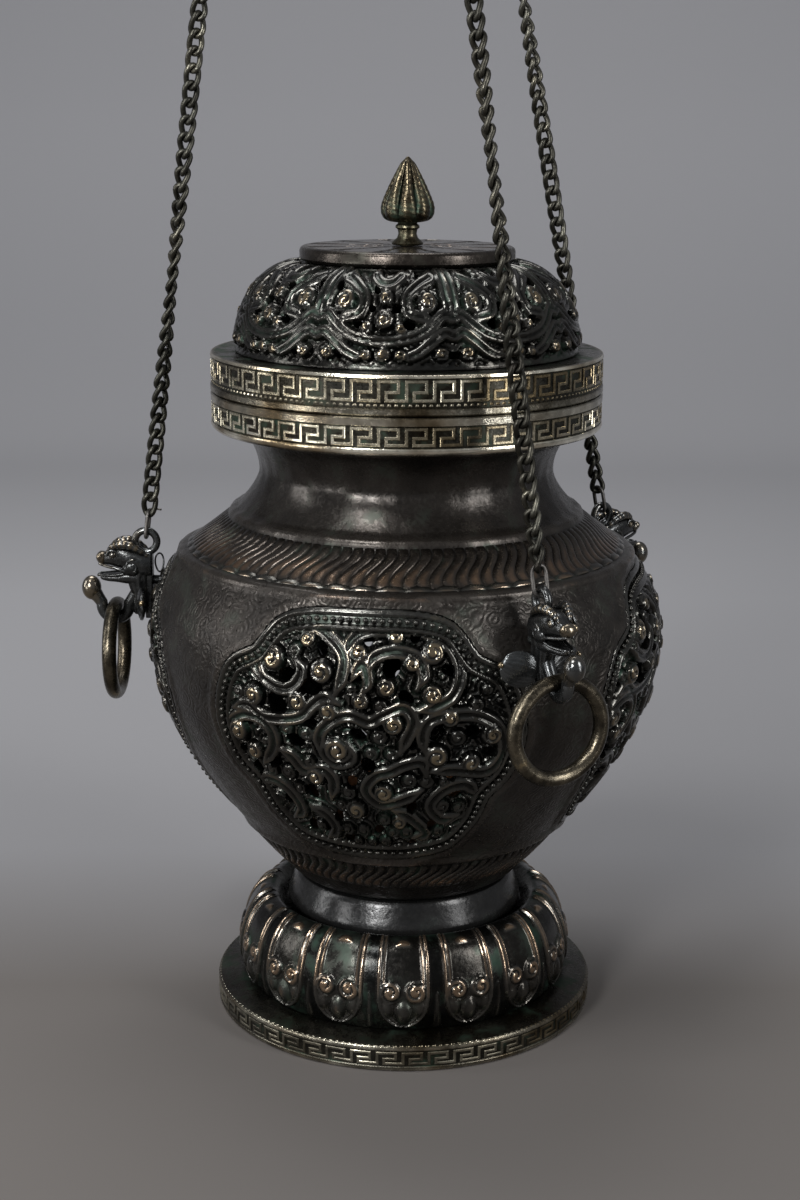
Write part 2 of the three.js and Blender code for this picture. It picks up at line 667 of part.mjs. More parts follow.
function lidDome() {
  const shoulder = domeBase + DOME_STRAIGHT;
  const across = DOME_RADIUS - CAP_RADIUS - DOME_WALL;
  const cavity = turned([
    [0, domeBase - 1],
    [DOME_RADIUS - DOME_WALL, domeBase - 1],
    ...arc(CAP_RADIUS, shoulder, across, DOME_RISE - DOME_WALL, 0, 90, 5),
    [0, domeTop - DOME_WALL],
  ]);
  const stud = disc(STUD_RADIUS + SEAM, domeBase, domeTop + 1);
  return cut(domeBody(), [cavity, stud, ...lidHoles()]);
}

function lidCap() {
  const hole = STUD_RADIUS + SEAM;
  return turned([
    [hole, capBase],
    [CAP_SEAT_RADIUS, capBase],
    [CAP_RADIUS, capBase + CAP_STEP],
    [CAP_RADIUS, capTop - CAP_STEP / 2],
    [CAP_RADIUS - CAP_STEP / 2, capTop],
    [hole, capTop],
  ]);
}

// The finial: a lobed bud on a waisted stem, in one piece with the stud that goes down through the lid
const finialNutTop = domeTop - DOME_WALL - SEAM;
const studEnd = finialNutTop - FINIAL_NUT_HEIGHT - 1;

function finial() {
  const tip = budBase + BUD_HEIGHT;
  const belly = budBase + BUD_BELLY_RISE;
  const points = [
    [0, studEnd],
    [STUD_RADIUS, studEnd],
    [STUD_RADIUS, finialBase],
    [FINIAL_FLARE_RADIUS, finialBase],
    [FINIAL_FLARE_RADIUS, finialBase + 0.8],
    [FINIAL_STEM_RADIUS, finialBase + FINIAL_STEM_HEIGHT / 2],
    [FINIAL_STEM_RADIUS, budBase],
    [BUD_RADIUS * 0.62, budBase + BUD_BELLY_RISE * 0.15],
    [BUD_RADIUS * 0.9, budBase + BUD_BELLY_RISE * 0.5],
    [BUD_RADIUS, belly],
    [BUD_RADIUS * 0.9, belly + (tip - belly) * 0.28],
    [BUD_RADIUS * 0.66, belly + (tip - belly) * 0.52],
    [BUD_RADIUS * 0.3, belly + (tip - belly) * 0.82],
    [0, tip],
  ].map(([radius, height]) => new THREE.Vector2(radius, height));
  const geometry = new THREE.LatheGeometry(points, 2 * BUD_LOBES).rotateX(Math.PI / 2);
  const position = geometry.attributes.position;
  for (let i = 0; i < position.count; i++) {
    const [x, y] = [position.getX(i), position.getY(i)];
    if (position.getZ(i) <= budBase) continue;
    const lobe = 1 - (BUD_LOBE_DEPTH / BUD_RADIUS) * (1 - Math.cos(BUD_LOBES * Math.atan2(y, x)));
    position.setX(i, x * lobe);
    position.setY(i, y * lobe);
  }
  return solid(geometry);
}

function finialNut() {
  return washer(STUD_RADIUS + SEAM, FINIAL_NUT_RADIUS, finialNutTop - FINIAL_NUT_HEIGHT, finialNutTop, 6);
}

// The bolt that clamps lotus ring, collar and bowl, with its washer and nut
const boltWasherTop = troughTop - LOTUS_WALL - SEAM;
const boltHeadTop = boltWasherTop - WASHER_THICKNESS - SEAM;
const boltNutBase = bowlFloorTop + SEAM;
const boltEnd = boltNutBase + NUT_HEIGHT + BOLT_TAIL;

function footBolt() {
  const head = disc(BOLT_HEAD_RADIUS, boltHeadTop - BOLT_HEAD_HEIGHT, boltHeadTop, 6);
  return head.add(disc(BOLT_RADIUS, boltHeadTop - BOLT_HEAD_HEIGHT, boltEnd, 12));
}

function footWasher() {
  return washer(BOLT_RADIUS + SEAM, WASHER_RADIUS, boltWasherTop - WASHER_THICKNESS, boltWasherTop);
}

function footNut() {
  return washer(BOLT_RADIUS + SEAM, BOLT_HEAD_RADIUS, boltNutBase, boltNutBase + NUT_HEIGHT, 6);
}

// A loose pan for the ash, which stands over the nut on a plain foot ring and lifts out through the neck
function ashPan() {
  const under = boltEnd + PAN_CLEARANCE;
  const footRing = [BOLT_HEAD_RADIUS + 6, BOLT_HEAD_RADIUS + 8];
  const rimHeight = under + PAN_HEIGHT;
  return turned([
    [0, under],
    [footRing[0], under],
    [footRing[0], bowlFloorTop + SEAM],
    [footRing[1], bowlFloorTop + SEAM],
    [footRing[1], under],
    [PAN_FLOOR_RADIUS, under],
    [PAN_RADIUS, rimHeight],
    [PAN_RADIUS - PAN_WALL, rimHeight],
    [PAN_FLOOR_RADIUS - PAN_WALL, under + PAN_WALL],
    [0, under + PAN_WALL],
  ]);
}

// Side view of a beast head, as [out, up] from the eyelet's centre: brow and muzzle, then jaw and throat
const MUZZLE = [
  [-1.6, -3.2], [1.5, -2.6], [4, -1.2], [8.4, -0.6], [11.9, -1.4], [13.4, -3.4],
  [14.6, -5.4], [13.6, -7.2], [10.8, -7.7], [6.2, -8.4], [1, -11], [-1.6, -11],
];
const JAW = [
  [-1.6, -8], [6.2, -8.4], [9.6, -9.8], [14.4, -10.4], [14.6, -12.2], [9.6, -12.5], [6.4, -13.4], [1, -13.6], [-1.6, -13.6],
];
const THROAT = [
  [-1.6, -9], [4.6, -9], [6, -13.2], [4.8, -16.6], [5, -19.6], [2.4, -22.6], [-0.4, -20.4], [-1.6, -18],
];

// A plate of a side view's outline, standing on the middle plane of the head.
function sidePlate(outline, width, bevelEnabled = false) {
  const shape = new THREE.Shape(outline.map(([out, up]) => new THREE.Vector2(out, up)));
  const bevel = bevelEnabled ? width * 0.18 : 0;
  const plate = new THREE.ExtrudeGeometry(shape, {
    depth: width - 2 * bevel,
    steps: 1,
    bevelEnabled,
    bevelThickness: bevel,
    bevelSize: bevel * 0.6,
    bevelOffset: -bevel * 0.6,
    bevelSegments: 1,
  });
  return solid(plate.translate(0, 0, bevel - width / 2).rotateX(Math.PI / 2));
}

function ball(radius, out, side, up, stretch = [1, 1, 1], facets = 8) {
  const geometry = new THREE.SphereGeometry(radius, facets, facets / 2).scale(...stretch);
  return solid(geometry.translate(out, side, up));
}

// A beast head with its backbone bar, pegs, eyelet, ears and upturned trunk, cast in one piece
function beastHead() {
  const pivot = [RING_REACH, -RING_DROP];
  const trunkRadius = RING_WIRE + RING_PLAY + TRUNK_WIRE;
  const barBack = -BAR_STANDOFF;
  const bend = arc(pivot[0], pivot[1], trunkRadius, trunkRadius, -185, 8, 6);
  const bulbPlace = [RING_REACH + BULB_REACH, -RING_DROP + BULB_RISE];
  const trunkRoot = [BAR_THICKNESS / 2, -RING_DROP + trunkRadius + TRUNK_WIRE];
  const trunkPath = [trunkRoot, ...bend, bulbPlace].map(([out, up]) => [out, 0, up]);
  const eyelet = solid(wireRing(EYELET_HOLE + EYELET_WIRE, EYELET_WIRE, 12, 6));
  const backbone = new THREE.BoxGeometry(BAR_THICKNESS, BAR_WIDTH, BAR_LENGTH);
  backbone.translate(barBack + BAR_THICKNESS / 2, 0, -EYELET_HOLE - EYELET_WIRE - BAR_LENGTH / 2);
  const pegs = PEG_DROPS.map((drop) => {
    const end = pegWasherFace(drop) - PEG_WASHER_THICKNESS - PEG_TAIL - eyeletRadius;
    return pin(PEG_RADIUS, end, barBack + BAR_THICKNESS / 2, -drop, 8);
  });
  const ears = [-1, 1].map((side) => {
    const leaf = ball(EAR_LENGTH, 0, 0, 0, [0.26, 1.1, 1]);
    return leaf.rotate([side * EAR_FLARE, 0, side * EAR_SWEEP]).translate([EAR_REACH, side * EAR_SIDE, -EAR_DROP]);
  });
  const eyes = [-1, 1].map((side) => ball(EYE_BULB, EYE_REACH, side * (HEAD_WIDTH - EYE_BULB) / 2, -EYE_DROP, [1, 1, 1], 6));
  return join([
    sidePlate(MUZZLE, HEAD_WIDTH, true),
    sidePlate(JAW, JAW_WIDTH),
    sidePlate(THROAT, NECK_WIDTH),
    solid(backbone),
    eyelet,
    ball(NOSE_BULB, NOSE_REACH, 0, -NOSE_DROP, [1, 1.6, 1], 6),
    ...eyes,
    ...ears,
    bar(trunkPath, TRUNK_WIRE, 6, 11),
    ball(TRUNK_BULB, bulbPlace[0], 0, bulbPlace[1], [0.95, 0.95, 1.15]),
    ...pegs,
  ]);
}

// Distance from the axis of the flat outer face of a peg's washer, inside the bowl
function pegWasherFace(drop) {
  const height = eyeletHeight - drop;
  const facetSag = 1 - Math.cos(Math.PI / ROUND);
  const wall = Math.min(...[-1, 0, 1].map((side) => bowlRadius(height + side * PEG_WASHER_RADIUS)));
  return wall * (1 - facetSag) - BOWL_WALL - SEAM;
}

function pegWasher(drop) {
  const face = pegWasherFace(drop);
  const height = eyeletHeight - drop;
  const plate = pin(PEG_WASHER_RADIUS, face - PEG_WASHER_THICKNESS, face, height, 10);
  return plate.subtract(pin(PEG_RADIUS + SEAM, 0, face + 1, height, 8));
}

function pegHoles(azimuth) {
  return PEG_DROPS.map((drop) => {
    const hole = pin(PEG_RADIUS + SEAM, SHOULDER_RADIUS / 2, 2 * BELLY_RADIUS, eyeletHeight - drop, 8);
    return atAzimuth(hole, azimuth);
  });
}

// A flat loop of wire with its two bends at the given heights, hung in the plane of X = 0
function wireLoop(low, high, width, wire) {
  const half = width / 2;
  const bend = 4; // segments of each bend
  const sides = 6;
  const centreLine = [];
  for (let i = 0; i <= 2 * bend + 1; i++) {
    const over = i <= bend;
    const angle = (Math.PI * (over ? i : i - 1)) / bend;
    centreLine.push([half * Math.cos(angle), (over ? high - half : low + half) + half * Math.sin(angle), angle]);
  }
  const positions = [];
  const index = [];
  centreLine.forEach(([across, up, angle], i) => {
    for (let k = 0; k < sides; k++) {
      const turn = (2 * Math.PI * k) / sides;
      const out = wire * Math.cos(turn);
      positions.push(wire * Math.sin(turn), across + out * Math.cos(angle), up + out * Math.sin(angle));
      const next = ((i + 1) % centreLine.length) * sides;
      const [a, b] = [i * sides + k, i * sides + ((k + 1) % sides)];
      const [c, d] = [next + ((k + 1) % sides), next + k];
      index.push(a, b, c, a, c, d);
    }
  });
  return solid(indexed(positions, index));
}

// One run of linked chain: flat links that turn a quarter from one to the next, joined into a rope of metal
function chainRun(length) {
  const steps = 2 * CHAIN_LINKS;
  const sides = 4;
  const positions = [];
  const index = [];
  for (let i = 0; i <= steps; i++) {
    const size = i % 2 ? 1 : LINK_WAIST;
    const turn = (Math.PI / 4) * (i % 8);
    for (let k = 0; k < sides; k++) {
      const across = (size * LINK_WIDTH * (k === 0 || k === 3 ? 1 : -1)) / 2;
      const deep = (size * LINK_THICKNESS * (k < 2 ? 1 : -1)) / 2;
      positions.push(
        across * Math.cos(turn) - deep * Math.sin(turn),
        across * Math.sin(turn) + deep * Math.cos(turn),
        (length * i) / steps,
      );
    }
  }
  for (let i = 0; i < steps; i++) {
    for (let k = 0; k < sides; k++) {
      const [a, b] = [i * sides + k, i * sides + ((k + 1) % sides)];
      index.push(a, b, b + sides, a, b + sides, a + sides);
    }
  }
  for (let k = 1; k < sides - 1; k++) {
    index.push(0, k + 1, k);
    index.push(steps * sides, steps * sides + k, steps * sides + k + 1);
  }
  return solid(indexed(positions, index));
}

// The line of one chain, from its eyelet's centre towards the point of suspension
const chainLength = CHAIN_LINKS * LINK_PITCH;
const hookLow = EYELET_HOLE - HOOK_WIRE - SEAM;
const runStart = hookLow + HOOK_LENGTH + HOOK_WIRE + SEAM;
const runEnd = runStart + chainLength;
const topHookLow = runEnd + SEAM + HOOK_WIRE;
const topHookHigh = topHookLow + HOOK_LENGTH;
const curlPlace = topHookHigh - HOOK_WIRE - SEAM + CURL_HOLE;

function chainLine({ azimuth }) {
  const angle = radians(azimuth);
  const eyelet = new THREE.Vector3(
    eyeletRadius * Math.cos(angle),
    eyeletRadius * Math.sin(angle),
    eyeletHeight,
  );
  return { eyelet, direction: SUSPENSION.clone().sub(eyelet).normalize() };
}

// Turns what was made about +Z, with its flat side towards +X, to stand along a chain's line.
function chainFrame(head) {
  const { eyelet, direction } = chainLine(head);
  const angle = radians(head.azimuth);
  const tangent = new THREE.Vector3(-Math.sin(angle), Math.cos(angle), 0);
  const out = tangent.clone().cross(direction).normalize();
  const side = direction.clone().cross(out);
  const frame = new THREE.Group();
  frame.setRotationFromMatrix(new THREE.Matrix4().makeBasis(out, side, direction));
  frame.position.copy(eyelet);
  return frame;
}

// The hanger: a hub with three arms, each ending in an open curl that the chain's top hook hangs in
const curlPlaces = HEADS.map((head) => {
  const { eyelet, direction } = chainLine(head);
  return eyelet.addScaledVector(direction, curlPlace);
});
const curlHeight = curlPlaces[0].z;
const hubShare = (curlHeight - eyeletHeight) / (SUSPENSION.z - eyeletHeight);
const hubPlace = new THREE.Vector3(SUSPENSION.x * hubShare, SUSPENSION.y * hubShare, curlHeight);
const hubBase = ARM_RISE - HUB_HEIGHT / 2;

function hanger() {
  const arms = HEADS.map(({ azimuth }, i) => {
    const toCurl = curlPlaces[i].clone().sub(hubPlace);
    const reach = Math.hypot(toCurl.x, toCurl.y);
    const curlRadius = CURL_HOLE + ARM_WIRE;
    const curl = arc(reach, toCurl.z, curlRadius, curlRadius, 150, 395, 7).map(([out, up]) => [out, 0, up]);
    const path = [
      [0, 0, ARM_RISE],
      [reach * 0.45, 0, ARM_RISE + ARM_BOW],
      [reach * 0.84, 0, ARM_RISE + toCurl.z],
      ...curl,
    ];
    return bar(path, ARM_WIRE, 6, 18).rotate([0, 0, THREE.MathUtils.radToDeg(Math.atan2(toCurl.y, toCurl.x))]);
  });
  const hub = turned([
    [0, hubBase],
    [HUB_RADIUS * 0.8, hubBase],
    [HUB_RADIUS, hubBase + HUB_HEIGHT * 0.3],
    [HUB_RADIUS, hubBase + HUB_HEIGHT * 0.7],
    [HUB_RADIUS * 0.8, hubBase + HUB_HEIGHT],
    [0, hubBase + HUB_HEIGHT],
  ], SMALL_ROUND);
  const bore = disc(SWIVEL_RADIUS + SEAM, hubBase - 1, hubBase + HUB_HEIGHT + 1, 12);
  return join([hub, ...arms]).subtract(bore);
}

// The swivel: a pin through the hub, headed below it, with the hanging ring above
function swivelRing() {
  const under = hubBase - SEAM;
  const over = hubBase + HUB_HEIGHT + SEAM;
  const shank = disc(SWIVEL_RADIUS, under - SWIVEL_HEAD_HEIGHT, over + SWIVEL_NECK + 1, 12);
  const head = disc(SWIVEL_HEAD_RADIUS, under - SWIVEL_HEAD_HEIGHT, under, 12);
  const shoulder = disc(SWIVEL_HEAD_RADIUS, over, over + SWIVEL_NECK, 12);
  const ringHeight = over + SWIVEL_NECK + SWIVEL_RING_RADIUS;
  const ring = solid(wireRing(SWIVEL_RING_RADIUS, SWIVEL_RING_WIRE, 20, 6).translate(0, 0, ringHeight));
  return join([shank, head, shoulder, ring]);
}

// Assembly: foot
add("base_plate", basePlate(), bronze);
add("plinth", plinth(), brassy);
add("lotus_ring", lotusRing(), bronze);
add("bowl_collar", collar(), bronze);
add("foot_bolt", footBolt(), wireSteel);
add("foot_washer", footWasher(), wireSteel);
add("foot_nut", footNut(), wireSteel);

// Assembly: bowl with its four medallions
const shell = cut(bowlShell(), HEADS.flatMap(({ azimuth }) => pegHoles(azimuth)));
const medallionAzimuths = Array.from({ length: MEDALLIONS }, (_, i) => FIRST_MEDALLION + (360 / MEDALLIONS) * i);
const cavity = NECK_RADIUS / 2;
const windows = medallionAzimuths.map((azimuth) =>
  radialPrism(medallionOutline(0), azimuth, cavity, 1.6 * BELLY_RADIUS),
);
add("bowl", cut(shell, windows), bronze);
const MEDALLION_NAMES = ["front", "right", "back", "left"];
medallionAzimuths.forEach((azimuth, i) => {
  const plug = radialPrism(medallionOutline(SEAM), azimuth, cavity, 1.6 * BELLY_RADIUS);
  const plate = cut(shell.add(medallionRelief(azimuth)).intersect(plug), medallionHoles(azimuth));
  add("medallion_" + (MEDALLION_NAMES[i] ?? i), plate, openwork);
});
add("mouth_band", mouthBand(), brassy);
add("ash_pan", ashPan(), panCopper);

// Assembly: lid
add("lid_band", lidBand(), brassy);
add("lid_dome", lidDome(), openwork);
add("lid_cap", lidCap(), bronze);
add("finial", finial(), openwork);
add("finial_nut", finialNut(), wireSteel);

// Assembly: heads with their pegs' washers and loose rings, and the chains
for (const head of HEADS) {
  const { name, azimuth } = head;
  const mount = new THREE.Group();
  mount.rotation.z = radians(azimuth);
  burner.add(mount);
  add("head_" + name, beastHead(), bronze, mount).position.set(eyeletRadius, 0, eyeletHeight);
  PEG_DROPS.forEach((drop, i) => {
    add("peg_washer_" + name + "_" + (i ? "lower" : "upper"), pegWasher(drop), wireSteel, mount);
  });
  const ring = solid(new THREE.TorusGeometry(RING_RADIUS, RING_WIRE, 6, 20).rotateY(Math.PI / 2));
  const ringPlace = eyeletHeight - RING_DROP - RING_RADIUS;
  add("ring_" + name, ring, ringBrass, mount).position.set(eyeletRadius + RING_REACH, 0, ringPlace);

  const line = chainFrame(head);
  burner.add(line);
  add("chain_hook_" + name, wireLoop(hookLow, hookLow + HOOK_LENGTH, HOOK_WIDTH, HOOK_WIRE), wireSteel, line);
  add("chain_" + name, chainRun(chainLength), wireSteel, line).position.z = runStart;
  add("top_hook_" + name, wireLoop(topHookLow, topHookHigh, HOOK_WIDTH, HOOK_WIRE), wireSteel, line);
}

// Assembly: hanger
const hangerPlace = new THREE.Group();
hangerPlace.position.copy(hubPlace);
burner.add(hangerPlace);
add("hanger", hanger(), bronze, hangerPlace);
add("swivel_ring", swivelRing(), ringBrass, hangerPlace);

export default burner;
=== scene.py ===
"""Dresses the frame of a bronze hanging incense burner: pierced bowl and lid, lotus foot and beast heads."""

import json
import math

import bpy
import numpy as np
from mathutils import Matrix, Vector

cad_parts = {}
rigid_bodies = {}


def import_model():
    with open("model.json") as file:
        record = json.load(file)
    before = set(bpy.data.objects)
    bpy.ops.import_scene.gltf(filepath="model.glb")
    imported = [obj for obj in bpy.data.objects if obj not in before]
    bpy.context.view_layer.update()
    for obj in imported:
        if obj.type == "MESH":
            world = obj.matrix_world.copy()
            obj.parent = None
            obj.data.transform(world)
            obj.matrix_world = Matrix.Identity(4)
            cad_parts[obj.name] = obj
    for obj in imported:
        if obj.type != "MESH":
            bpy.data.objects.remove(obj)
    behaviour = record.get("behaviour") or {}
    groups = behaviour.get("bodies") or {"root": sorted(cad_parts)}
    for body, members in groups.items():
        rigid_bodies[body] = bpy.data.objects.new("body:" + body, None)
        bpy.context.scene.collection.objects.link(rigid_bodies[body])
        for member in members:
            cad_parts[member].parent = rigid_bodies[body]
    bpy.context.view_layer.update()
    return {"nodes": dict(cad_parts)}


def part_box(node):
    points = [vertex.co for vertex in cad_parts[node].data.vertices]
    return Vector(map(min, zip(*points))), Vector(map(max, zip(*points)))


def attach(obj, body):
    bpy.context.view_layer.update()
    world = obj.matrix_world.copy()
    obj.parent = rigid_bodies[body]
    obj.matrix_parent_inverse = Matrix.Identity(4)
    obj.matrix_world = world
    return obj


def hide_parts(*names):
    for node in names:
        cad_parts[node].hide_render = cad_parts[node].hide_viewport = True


bl_info = {
    "name": "Hanging Incense Burner",
    "version": (1, 0, 0),
    "blender": (4, 5, 0),
    "location": "View3D > Sidebar > Burner",
    "description": "Dresses the frame of a bronze incense burner with carved and pierced metalwork",
    "category": "Add Mesh",
}

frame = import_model()
MM = 0.001


def lowest(node):
    """Height of a node's underside, in millimetres."""
    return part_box(node)[0].z / MM


def highest(node):
    """Height of a node's top, in millimetres."""
    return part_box(node)[1].z / MM


def widest(node):
    """Radius of a round node, in millimetres."""
    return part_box(node)[1].x / MM


FOOT_RADIUS = 51.6
CREST_RADIUS = 41.5
BELLY_RADIUS = 77.4
WAIST_RADIUS = 36.5
SHOULDER_RADIUS = 67.5
NECK_RADIUS = 44.2
LIP_RADIUS = 49.5
BOWL_WALL = 2.6
WAIST = lowest("bowl") + 3.2
BELLY = WAIST + 74
SHOULDER = BELLY + 26
NECK = SHOULDER + 24
LIP = highest("bowl")
CAP_RADIUS = widest("lid_cap")
MEDALLION_BASE = WAIST + 17.4
MEDALLION_HEIGHT = 79.6
MEDALLION_SPREAD = 35.5
MEDALLION_AZIMUTHS = (-99, -9, 81, 171)
HEAD_AZIMUTHS = {"left": 178, "front": -62.4, "back": 36.3}
EYELET_RADIUS = BELLY_RADIUS + 2.3
EYELET_HEIGHT = SHOULDER - 0.2
SUSPENSION = np.array([-22.0, 2.0, 613.0])


def bowl_radius(height):
    """The bowl's outer radius at a height, or at an array of them."""
    height = np.asarray(height, float)
    base = 31 + (WAIST_RADIUS - 31) * np.clip((height - lowest("bowl")) / 3.2, 0, 1) ** 0.6
    belly_share = np.clip((height - WAIST) / (BELLY - WAIST), 0, 1)
    belly = WAIST_RADIUS + (BELLY_RADIUS - WAIST_RADIUS) * np.sin(math.pi / 2 * belly_share)
    shoulder_share = np.clip((height - BELLY) / (SHOULDER - BELLY), 0, 1)
    drop = np.cos(math.pi / 2 * shoulder_share**1.2)
    shoulder = SHOULDER_RADIUS + (BELLY_RADIUS - SHOULDER_RADIUS) * drop
    neck_share = np.clip((height - SHOULDER) / (NECK - SHOULDER), 0, 1)
    neck = NECK_RADIUS + (SHOULDER_RADIUS - NECK_RADIUS) * (1 - neck_share) ** 1.6
    lip = NECK_RADIUS + (LIP_RADIUS - NECK_RADIUS) * np.clip((height - NECK) / (LIP - NECK), 0, 1) ** 2
    bands = [height < WAIST, height < BELLY, height < SHOULDER, height < NECK]
    return np.select(bands, [base, belly, shoulder, neck], lip)


def bowl_place(azimuth, height, out):
    """Points on the bowl from azimuths in degrees, heights, and distances out of its skin."""
    turn = np.radians(azimuth)
    slope = (bowl_radius(height + 0.1) - bowl_radius(height - 0.1)) / 0.2
    steep = 1 / np.sqrt(1 + slope**2)
    radius = bowl_radius(height) + out * steep
    rise = np.where(out < 0, 0, -out * slope * steep)
    return np.stack([radius * np.cos(turn), radius * np.sin(turn), height + rise], axis=-1)


class FinishColours(bpy.types.PropertyGroup):
    """Colours of the metals."""

    bronze: bpy.props.FloatVectorProperty(
        name="Dark bronze", description="Patina of the plain bronze", subtype="COLOR",
        default=(0.033, 0.029, 0.0255), min=0, max=1)
    brass: bpy.props.FloatVectorProperty(
        name="Worn brass", description="Metal where the patina has worn off", subtype="COLOR",
        default=(0.42, 0.33, 0.19), min=0, max=1)
    copper: bpy.props.FloatVectorProperty(
        name="Coppery wear", description="Metal that shows on the foot's petals and the flutes", subtype="COLOR",
        default=(0.2, 0.125, 0.08), min=0, max=1)
    hollow: bpy.props.FloatVectorProperty(
        name="Hollows", description="Colour deep in the carving", subtype="COLOR",
        default=(0.008, 0.009, 0.009), min=0, max=1)
    verdigris: bpy.props.FloatVectorProperty(
        name="Verdigris", description="Green bloom in the hollows", subtype="COLOR",
        default=(0.022, 0.045, 0.032), min=0, max=1)


class CarvingSizes(bpy.types.PropertyGroup):
    """Sizes of the ornament that a user would change."""

    medallion_relief: bpy.props.FloatProperty(
        name="Medallion relief", description="Height of the cloud scrolls", default=1.1 * MM, unit="LENGTH")
    bead_pitch: bpy.props.FloatProperty(
        name="Bead pitch", description="Distance between beads round a medallion", default=2.3 * MM, unit="LENGTH")
    petals: bpy.props.IntProperty(
        name="Petals", description="Petals of the lotus foot", default=16, min=8, max=32)
    lappets: bpy.props.IntProperty(
        name="Lappets", description="Cloud lappets round the dome", default=8, min=4, max=12)
    fret_keys: bpy.props.IntProperty(
        name="Fret keys", description="Keys of the fret round each band", default=48, min=12, max=96)
    shoulder_flutes: bpy.props.IntProperty(
        name="Shoulder flutes", description="Slanted flutes round the shoulder", default=108, min=24, max=160)
    foot_flutes: bpy.props.IntProperty(
        name="Lower flutes", description="Slanted flutes round the bowl's foot", default=96, min=24, max=160)
    link_wire: bpy.props.FloatProperty(
        name="Link wire", description="Radius of the chain's wire", default=0.85 * MM, unit="LENGTH")


class StudioLight(bpy.types.PropertyGroup):
    """Light, floor and camera."""

    key_power: bpy.props.FloatProperty(
        name="Key softbox", description="Power of the softbox on the left", default=8, unit="POWER")
    fill_power: bpy.props.FloatProperty(
        name="Fill softbox", description="Power of the softbox on the right", default=5.5, unit="POWER")
    low_power: bpy.props.FloatProperty(
        name="Low softboxes", description="Power of the two low softboxes that the bands mirror", default=0.9,
        unit="POWER")
    top_power: bpy.props.FloatProperty(
        name="Top softbox", description="Power of the softbox overhead", default=5.5, unit="POWER")
    floor: bpy.props.FloatVectorProperty(
        name="Floor", description="Colour of the floor", subtype="COLOR",
        default=(0.084, 0.076, 0.071), min=0, max=1)
    # The wall's colour is set brighter than the floor's, partly as painted light for the wall getting less light.
    wall: bpy.props.FloatVectorProperty(
        name="Wall", description="Colour of the backdrop", subtype="COLOR",
        default=(0.4, 0.398, 0.415), min=0, max=1)
    lens: bpy.props.FloatProperty(
        name="Lens", description="Focal length", default=59.61, subtype="DISTANCE_CAMERA")


# Meshes


def build_mesh(name, points, quads=(), triangles=(), tone=None, sharp=38):
    """A smooth mesh object from points in millimetres. Tone runs from 0 in hollows to 1 on worn crests."""
    mesh = bpy.data.meshes.new(name)
    kinds = [np.asarray(faces, np.int32) for faces in (quads, triangles) if len(faces)]
    corners = np.concatenate([faces.ravel() for faces in kinds])
    sizes = np.concatenate([np.full(len(faces), faces.shape[1]) for faces in kinds])
    mesh.vertices.add(len(points))
    mesh.vertices.foreach_set("co", (np.asarray(points) * MM).astype(np.float32).ravel())
    mesh.loops.add(len(corners))
    mesh.loops.foreach_set("vertex_index", corners)
    mesh.polygons.add(len(sizes))
    mesh.polygons.foreach_set("loop_start", np.concatenate([[0], np.cumsum(sizes)[:-1]]).astype(np.int32))
    mesh.update(calc_edges=True)
    if tone is not None:
        layer = mesh.attributes.new("tone", "FLOAT", "POINT")
        layer.data.foreach_set("value", np.clip(tone, 0, 1).astype(np.float32).ravel())
    mesh.shade_smooth()
    mesh.set_sharp_from_angle(angle=math.radians(sharp))
    made = bpy.data.objects.new(name, mesh)
    bpy.context.scene.collection.objects.link(made)
    return made


def joined(name, *pieces):
    """One object from several, with its parts' materials left out."""
    for other in bpy.context.view_layer.objects:
        other.select_set(other in pieces)
    bpy.context.view_layer.objects.active = pieces[0]
    bpy.ops.object.join()
    pieces[0].name = name
    pieces[0].data.name = name
    pieces[0].select_set(False)
    return pieces[0]


def smooth_line(points, steps=6, closed=False):
    """A smooth line through points, with a number of steps between each two."""
    points = np.asarray(points, float)
    if closed:
        padded = np.vstack([points[-1], points, points[0], points[1]])
    else:
        padded = np.vstack([2 * points[0] - points[1], points, 2 * points[-1] - points[-2]])
    share = (np.arange(steps) / steps)[:, None]
    spans = []
    for before, start, end, after in zip(padded, padded[1:], padded[2:], padded[3:]):
        bend = 2 * before - 5 * start + 4 * end - after
        twist = 3 * (start - end) + after - before
        spans.append(start + 0.5 * share * (end - before + share * (bend + share * twist)))
    if not closed:
        spans.append(points[-1:])
    return np.vstack(spans)


